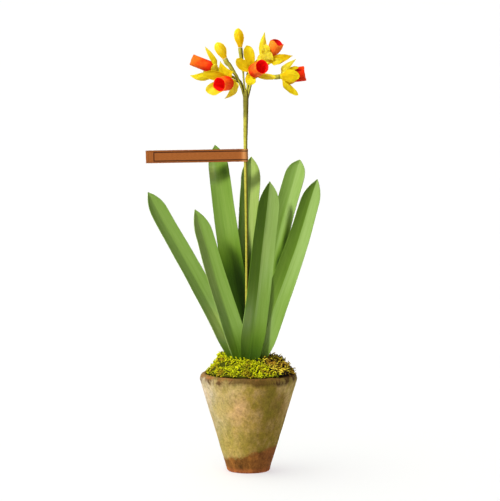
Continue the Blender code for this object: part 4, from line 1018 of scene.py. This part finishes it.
# painted light: the inside's value makes the red brighter
red_stain_and_light = add(tree, "Math", (dye_and_light, 5.0, stain), operation="MULTIPLY_ADD")
red_stain_and_light = add(tree, "MapRange", (red_stain_and_light, 0.3, 1.3))
red = add(tree, "Mix", {0: red_stain_and_light, 6: "A80410", 7: "EC1410"}, data_type="RGBA")
dyed = add(tree, "Mix", {0: inner, 6: orange, 7: red}, data_type="RGBA")
tooth = add(tree, "Bump", {"Height": stain, "Strength": 0.25, "Distance": 0.0006})
feed(tree, shader, {
    "Base Color": dyed, "Roughness": 0.75, "Specular IOR Level": 0.08,
    "Subsurface Weight": 0.25, "Subsurface Radius": (1.0, 0.3, 0.02),
    "Subsurface Scale": 0.8 * MM, "Emission Color": red, "Emission Strength": glow,
    "Normal": tooth})

for number, flower in FLOWERS.items():
    base, axis = head(number)
    length = (Vector(flower["mouth"]) - base).length
    roll = flower["cup"]
    hole = [cup_radius(z, length, roll) + GAP for z in (COLLAR_FLOOR, CUP_NECK, COLLAR_LENGTH)]
    collar = [(COLLAR_BORE, 0.0), (2.2, 0.0), (2.7, 0.3), (hole[1] + COLLAR_WALL, CUP_NECK),
              (hole[2] + COLLAR_LIP, COLLAR_LENGTH), (hole[2], COLLAR_LENGTH),
              (hole[1], CUP_NECK), (hole[0], COLLAR_FLOOR), (COLLAR_BORE, COLLAR_FLOOR)]
    parts = [ring_mesh("collar", turned_rings(collar, base, axis, COLLAR_STEPS))]
    tone = parts[0].attributes.new("tone", "FLOAT", "POINT")
    tone.data.foreach_set("value", [COLLAR_TONE] * len(parts[0].vertices))
    for seed, petal in enumerate(flower["petals"]):
        rows, marks = petal_sheet(base, axis, petal, seed + 10 * int(number))
        tones = [[petal[-1]] * len(row) for row in rows]
        parts.append(sheet_mesh("petal", rows, marks, PETAL_PAPER, tones))
    show(f"petals_{number}_crepe", joined("petals", parts), yellow_crepe,
         f"petals_{number}", 55)

    start = COLLAR_FLOOR + GAP
    runs = [start + (length - start) * i / CUP_LEVELS for i in range(CUP_LEVELS + 1)]
    profile = [(cup_radius(z, length, roll), z) for z in runs]
    profile += [(cup_radius(z, length, roll) - CUP_PAPER, z) for z in reversed(runs[1:])]

    turn = Vector((0, 0, 1)).rotation_difference(axis).inverted()
    corners = [(turn @ Vector(way), rise, spread) for way, rise, spread in flower["corners"]]

    def rolled(r, run, a, number=number, length=length, corners=corners):
        """The paper's overlap, and the unevenness of the hand-cut rim."""
        lap = 0.22 * (a / (2 * math.pi)) * min(run / 6, 1)
        out = smooth_step((run - 0.6 * length) / (0.4 * length))
        trim = 0.5 * noise.noise(Vector((math.cos(a) * 1.5, math.sin(a) * 1.5, int(number) * 5)))
        for way, rise, spread in corners:
            away = (a - math.atan2(way.y, way.x) + math.pi) % (2 * math.pi) - math.pi
            trim += rise * math.exp(-(away / spread) ** 2)
        squeeze = 1 + 0.03 * out * math.cos(2 * a + int(number))
        return (r + lap) * squeeze, run + trim * out
    cup = ring_mesh("cup", turned_rings(profile, base, axis, CUP_STEPS, rolled))
    # the outer rings come first, and the two middles of the ends last, the outer one before
    outside = CUP_STEPS * (CUP_LEVELS + 1)
    faces = {"inner": [], "dye_and_light": [], "through": []}
    for i, vert in enumerate(cup.vertices):
        outer = i < outside or i == len(cup.vertices) - 2
        share = (vert.co / MM - base).dot(axis) / length
        faces["inner"].append(0.0 if outer else 1.0)
        # outside: faded dye that also paints shade on cups under petals, paler towards the mouth;
        # inside: painted light on the red; through: a painted glow
        faces["dye_and_light"].append(flower["dye_and_light"] + 1.3 * (share - 0.6) if outer else flower["glow"][0])
        faces["through"].append(flower["glow"][1 if outer else 0])
    for name, values in faces.items():
        cup.attributes.new(name, "FLOAT", "POINT").data.foreach_set("value", values)
    show(f"cup_{number}_roll", cup, orange_paper, f"cup_{number}", 50)

# Buds.
# Two closed buds: strips of yellow crepe twisted round a ball of cotton, and bound to the wire.
# They are fullest in the middle, and the twisted edges show as shallow slanted folds.
BUD_STEPS = 60
BUD_LEVELS = 28
BUD_SIDES = 5
BUD_TWIST = 0.7


def bud_radius(t):
    belly = 0.44 + 0.58 * smooth_step((t + 0.06) / 0.58)
    return belly * max(1 - max((t - 0.58) / 0.42, 0.0) ** 2.1, 0.0) ** 0.56


def bud_folds(a, t, phase):
    """How many folded edges a point has passed, round the bud and up its twist."""
    return BUD_SIDES * (a + phase + BUD_TWIST * t) / (2 * math.pi)


# Twisted crepe: the petals' paper in several layers, so that light spreads further in it, and an
# even painted glow lifts its shaded side. It turns from brown at the foot to yellow at the tip,
# and each strip has a plain yellow edge.
twisted_crepe, tree, shader = new_material("twisted_crepe")
fold = add(tree, "Attribute", attribute_name="fold").outputs["Vector"]
fold = add(tree, "SeparateXYZ", (fold,)).outputs
stain = add(tree, "TexNoise", {"Vector": add(tree, "TexCoord").outputs["Object"],
                               "Scale": 230.0, "Detail": 3.0})
warm = add(tree, "Math", (fold["Y"], stain), operation="ADD")
warm = add(tree, "Math", (fold["Z"], warm), operation="ADD")
hue = add(tree, "ValToRGB", (add(tree, "MapRange", (warm, 0.2, 1.7)),),
          ((0.0, "8A5600"), (0.3, "9E8402"), (0.6, "A0900A"), (1.0, "A8A022")))
yellow = add(tree, "Mix", {0: fold["X"], 6: "B0980A", 7: hue}, data_type="RGBA")
crinkle = add(tree, "Bump", {"Height": stain, "Strength": 0.3, "Distance": 0.0005})
feed(tree, shader, {
    "Base Color": yellow, "Roughness": 0.75, "Specular IOR Level": 0.08,
    "Subsurface Weight": 1.0, "Subsurface Radius": (1.0, 0.8, 0.08),
    "Subsurface Scale": 5.0 * MM, "Emission Color": "FFB800", "Emission Strength": 0.36,
    "Normal": crinkle})

for name, (_, tip, radius, phase, faded) in BUDS.items():
    base, axis = head(name)
    length = (Vector(tip) - base).length
    levels = [0.5 - 0.5 * math.cos(math.pi * i / BUD_LEVELS) for i in range(1, BUD_LEVELS)]
    profile = [(radius * bud_radius(t), length * t) for t in levels]

    def folded(r, run, a, length=length, phase=phase):
        """The flat strips between the folded edges, each lapped a little over the next."""
        lobe = bud_folds(a, run / length, phase) % 1.0 - 0.5
        flat = math.cos(math.pi / BUD_SIDES) / math.cos(2 * math.pi / BUD_SIDES * lobe)
        return r * (0.2 + 0.8 * flat) * (0.99 + 0.07 * lobe), run
    bud = ring_mesh(name, turned_rings(profile, base, axis, BUD_STEPS, folded))
    marks = bud.attributes.new("fold", "FLOAT_VECTOR", "POINT")
    for i in range(len(bud.vertices)):
        level = levels[min(i // BUD_STEPS, len(levels) - 1)]
        folds = bud_folds(2 * math.pi * (i % BUD_STEPS) / BUD_STEPS, level, phase)
        own = 0.35 * noise.noise(Vector((math.floor(folds) * 1.7, phase, 4.0)))
        marks.data[i].vector = (smooth_step(folds % 1.0 / 0.2), level, faded + own)
    show(name + "_crepe", bud, twisted_crepe, name, 30)

# Label.
# One strip of brown kraft paper, folded round the stem and glued to itself as a flag. Its
# front has a thin ruled frame and nothing in it.
LABEL_HEIGHT = 12.7
LABEL_LENGTH = 99.0
LABEL_PAPER = 0.36
LABEL_LAYER = 0.22  # from the middle of the flag to the middle of each of its layers
LABEL_FOLD = 5.0
LABEL_AT = Vector((-3.0, 0.0, 316.7))
LABEL_LOOP = 2.4
LABEL_TILT = math.radians(1.0)
LABEL_COLUMNS = 40
LABEL_ROWS = 6


def label_plan():
    """The strip's middle line seen from above: out along the front, round the stem, and back."""
    flat = LABEL_LENGTH - LABEL_FOLD
    front = [Vector((flat * i / LABEL_COLUMNS - LABEL_LENGTH, -LABEL_LAYER, 0))
             for i in range(LABEL_COLUMNS + 1)]
    turns = [math.radians(-150 + 300 * i / 24) for i in range(1, 24)]
    loop = [Vector((LABEL_LOOP * math.cos(a), LABEL_LOOP * math.sin(a), 0)) for a in turns]
    return front + loop + [Vector((p.x, LABEL_LAYER, 0)) for p in reversed(front)]


# Kraft paper: brown and unbleached, matte, with short fibres along the strip that show as
# streaks.
kraft_paper, tree, shader = new_material("kraft_paper")
cut = add(tree, "UVMap", uv_map="cut")
spot = add(tree, "SeparateXYZ", (cut,)).outputs
fibres = add(tree, "Mapping", {"Vector": cut, "Scale": (0.25, 1.0, 1.0)})
fibres = add(tree, "TexNoise", {"Vector": fibres, "Scale": 160.0, "Detail": 5.0,
                                "Roughness": 0.7})
# the long edges and the loose end are rubbed darker, and a painted highlight lightens the fold
# where it curves round the stem
rim = add(tree, "Math", (spot["Y"], 0.0635), operation="SUBTRACT")
rim = add(tree, "Math", (rim,), operation="ABSOLUTE")
bars = add(tree, "Mapping", {"Vector": cut, "Scale": (1.0, 0.06, 1.0)})
bars = add(tree, "TexNoise", {"Vector": bars, "Scale": 60.0, "Detail": 2.0})
bars = add(tree, "MapRange", (bars, 0.5, 0.62, 0.0, 0.5))
near_end = add(tree, "MapRange", (spot["X"], 0.09, 0.05))
bars = add(tree, "Math", (bars, near_end), operation="MULTIPLY")
# the frame is ruled in brown ink, 8 mm from the end and 2 mm from the long edges: what each
# stroke crosses and where, and what it follows, from where to where, in hundreds of mm
ink = 0.0
for crossed, at, followed, first, final in (
        ("X", 0.081, "Y", 0.0165, 0.1105), ("Y", 0.0205, "X", 0.077, 1.02),
        ("Y", 0.1065, "X", 0.077, 1.02)):
    away = add(tree, "Math", (spot[crossed], at), operation="SUBTRACT")
    away = add(tree, "Math", (away,), operation="ABSOLUTE")
    stroke = add(tree, "Math", (away, 0.0055), operation="LESS_THAN")
    for limit, way in ((first, "GREATER_THAN"), (final, "LESS_THAN")):
        within = add(tree, "Math", (spot[followed], limit), operation=way)
        stroke = add(tree, "Math", (stroke, within), operation="MULTIPLY")
    ink = add(tree, "Math", (ink, stroke), operation="MAXIMUM")
kraft = "62330F"
for cover, coat in ((fibres, "A2602E"),
                    (add(tree, "MapRange", (rim, 0.04, 0.06, 0.0, 0.4)), "5A2E14"),
                    (bars, "5A2E14"),
                    # painted highlight on the fold round the stem
                    (add(tree, "MapRange", (spot["X"], 0.945, 0.975, 0.0, 0.55)), "B4814E"),
                    (add(tree, "Math", (ink, 0.92), operation="MULTIPLY"), "2C140C")):
    kraft = add(tree, "Mix", {0: cover, 6: kraft, 7: coat}, data_type="RGBA")
tooth = add(tree, "Bump", {"Height": fibres, "Strength": 0.2, "Distance": 0.0004})
feed(tree, shader, {"Base Color": kraft, "Roughness": 0.8, "Specular IOR Level": 0.1,
                    "Normal": tooth})

plan = label_plan()
runs = [0.0]
for a, b in zip(plan, plan[1:]):
    runs.append(runs[-1] + (b - a).length)
level = Matrix.Rotation(-LABEL_TILT, 3, "Y")
rows, marks = [], []
for i in range(LABEL_ROWS + 1):
    up = LABEL_HEIGHT * (i / LABEL_ROWS - 0.5)
    row = []
    for p in plan:
        warp = 0.5 * noise.noise(Vector((p.x / 40, up / 20, 2))) * smooth_step(-p.x / 60)
        row.append(LABEL_AT + level @ (p + Vector((0, warp, up))))
    rows.append(row)
    marks.append([(run / 100, (up + LABEL_HEIGHT / 2) / 100) for run in runs])
label = sheet_mesh("kraft_label", rows, marks, LABEL_PAPER)
show("kraft_label", label, kraft_paper, "label", 50)
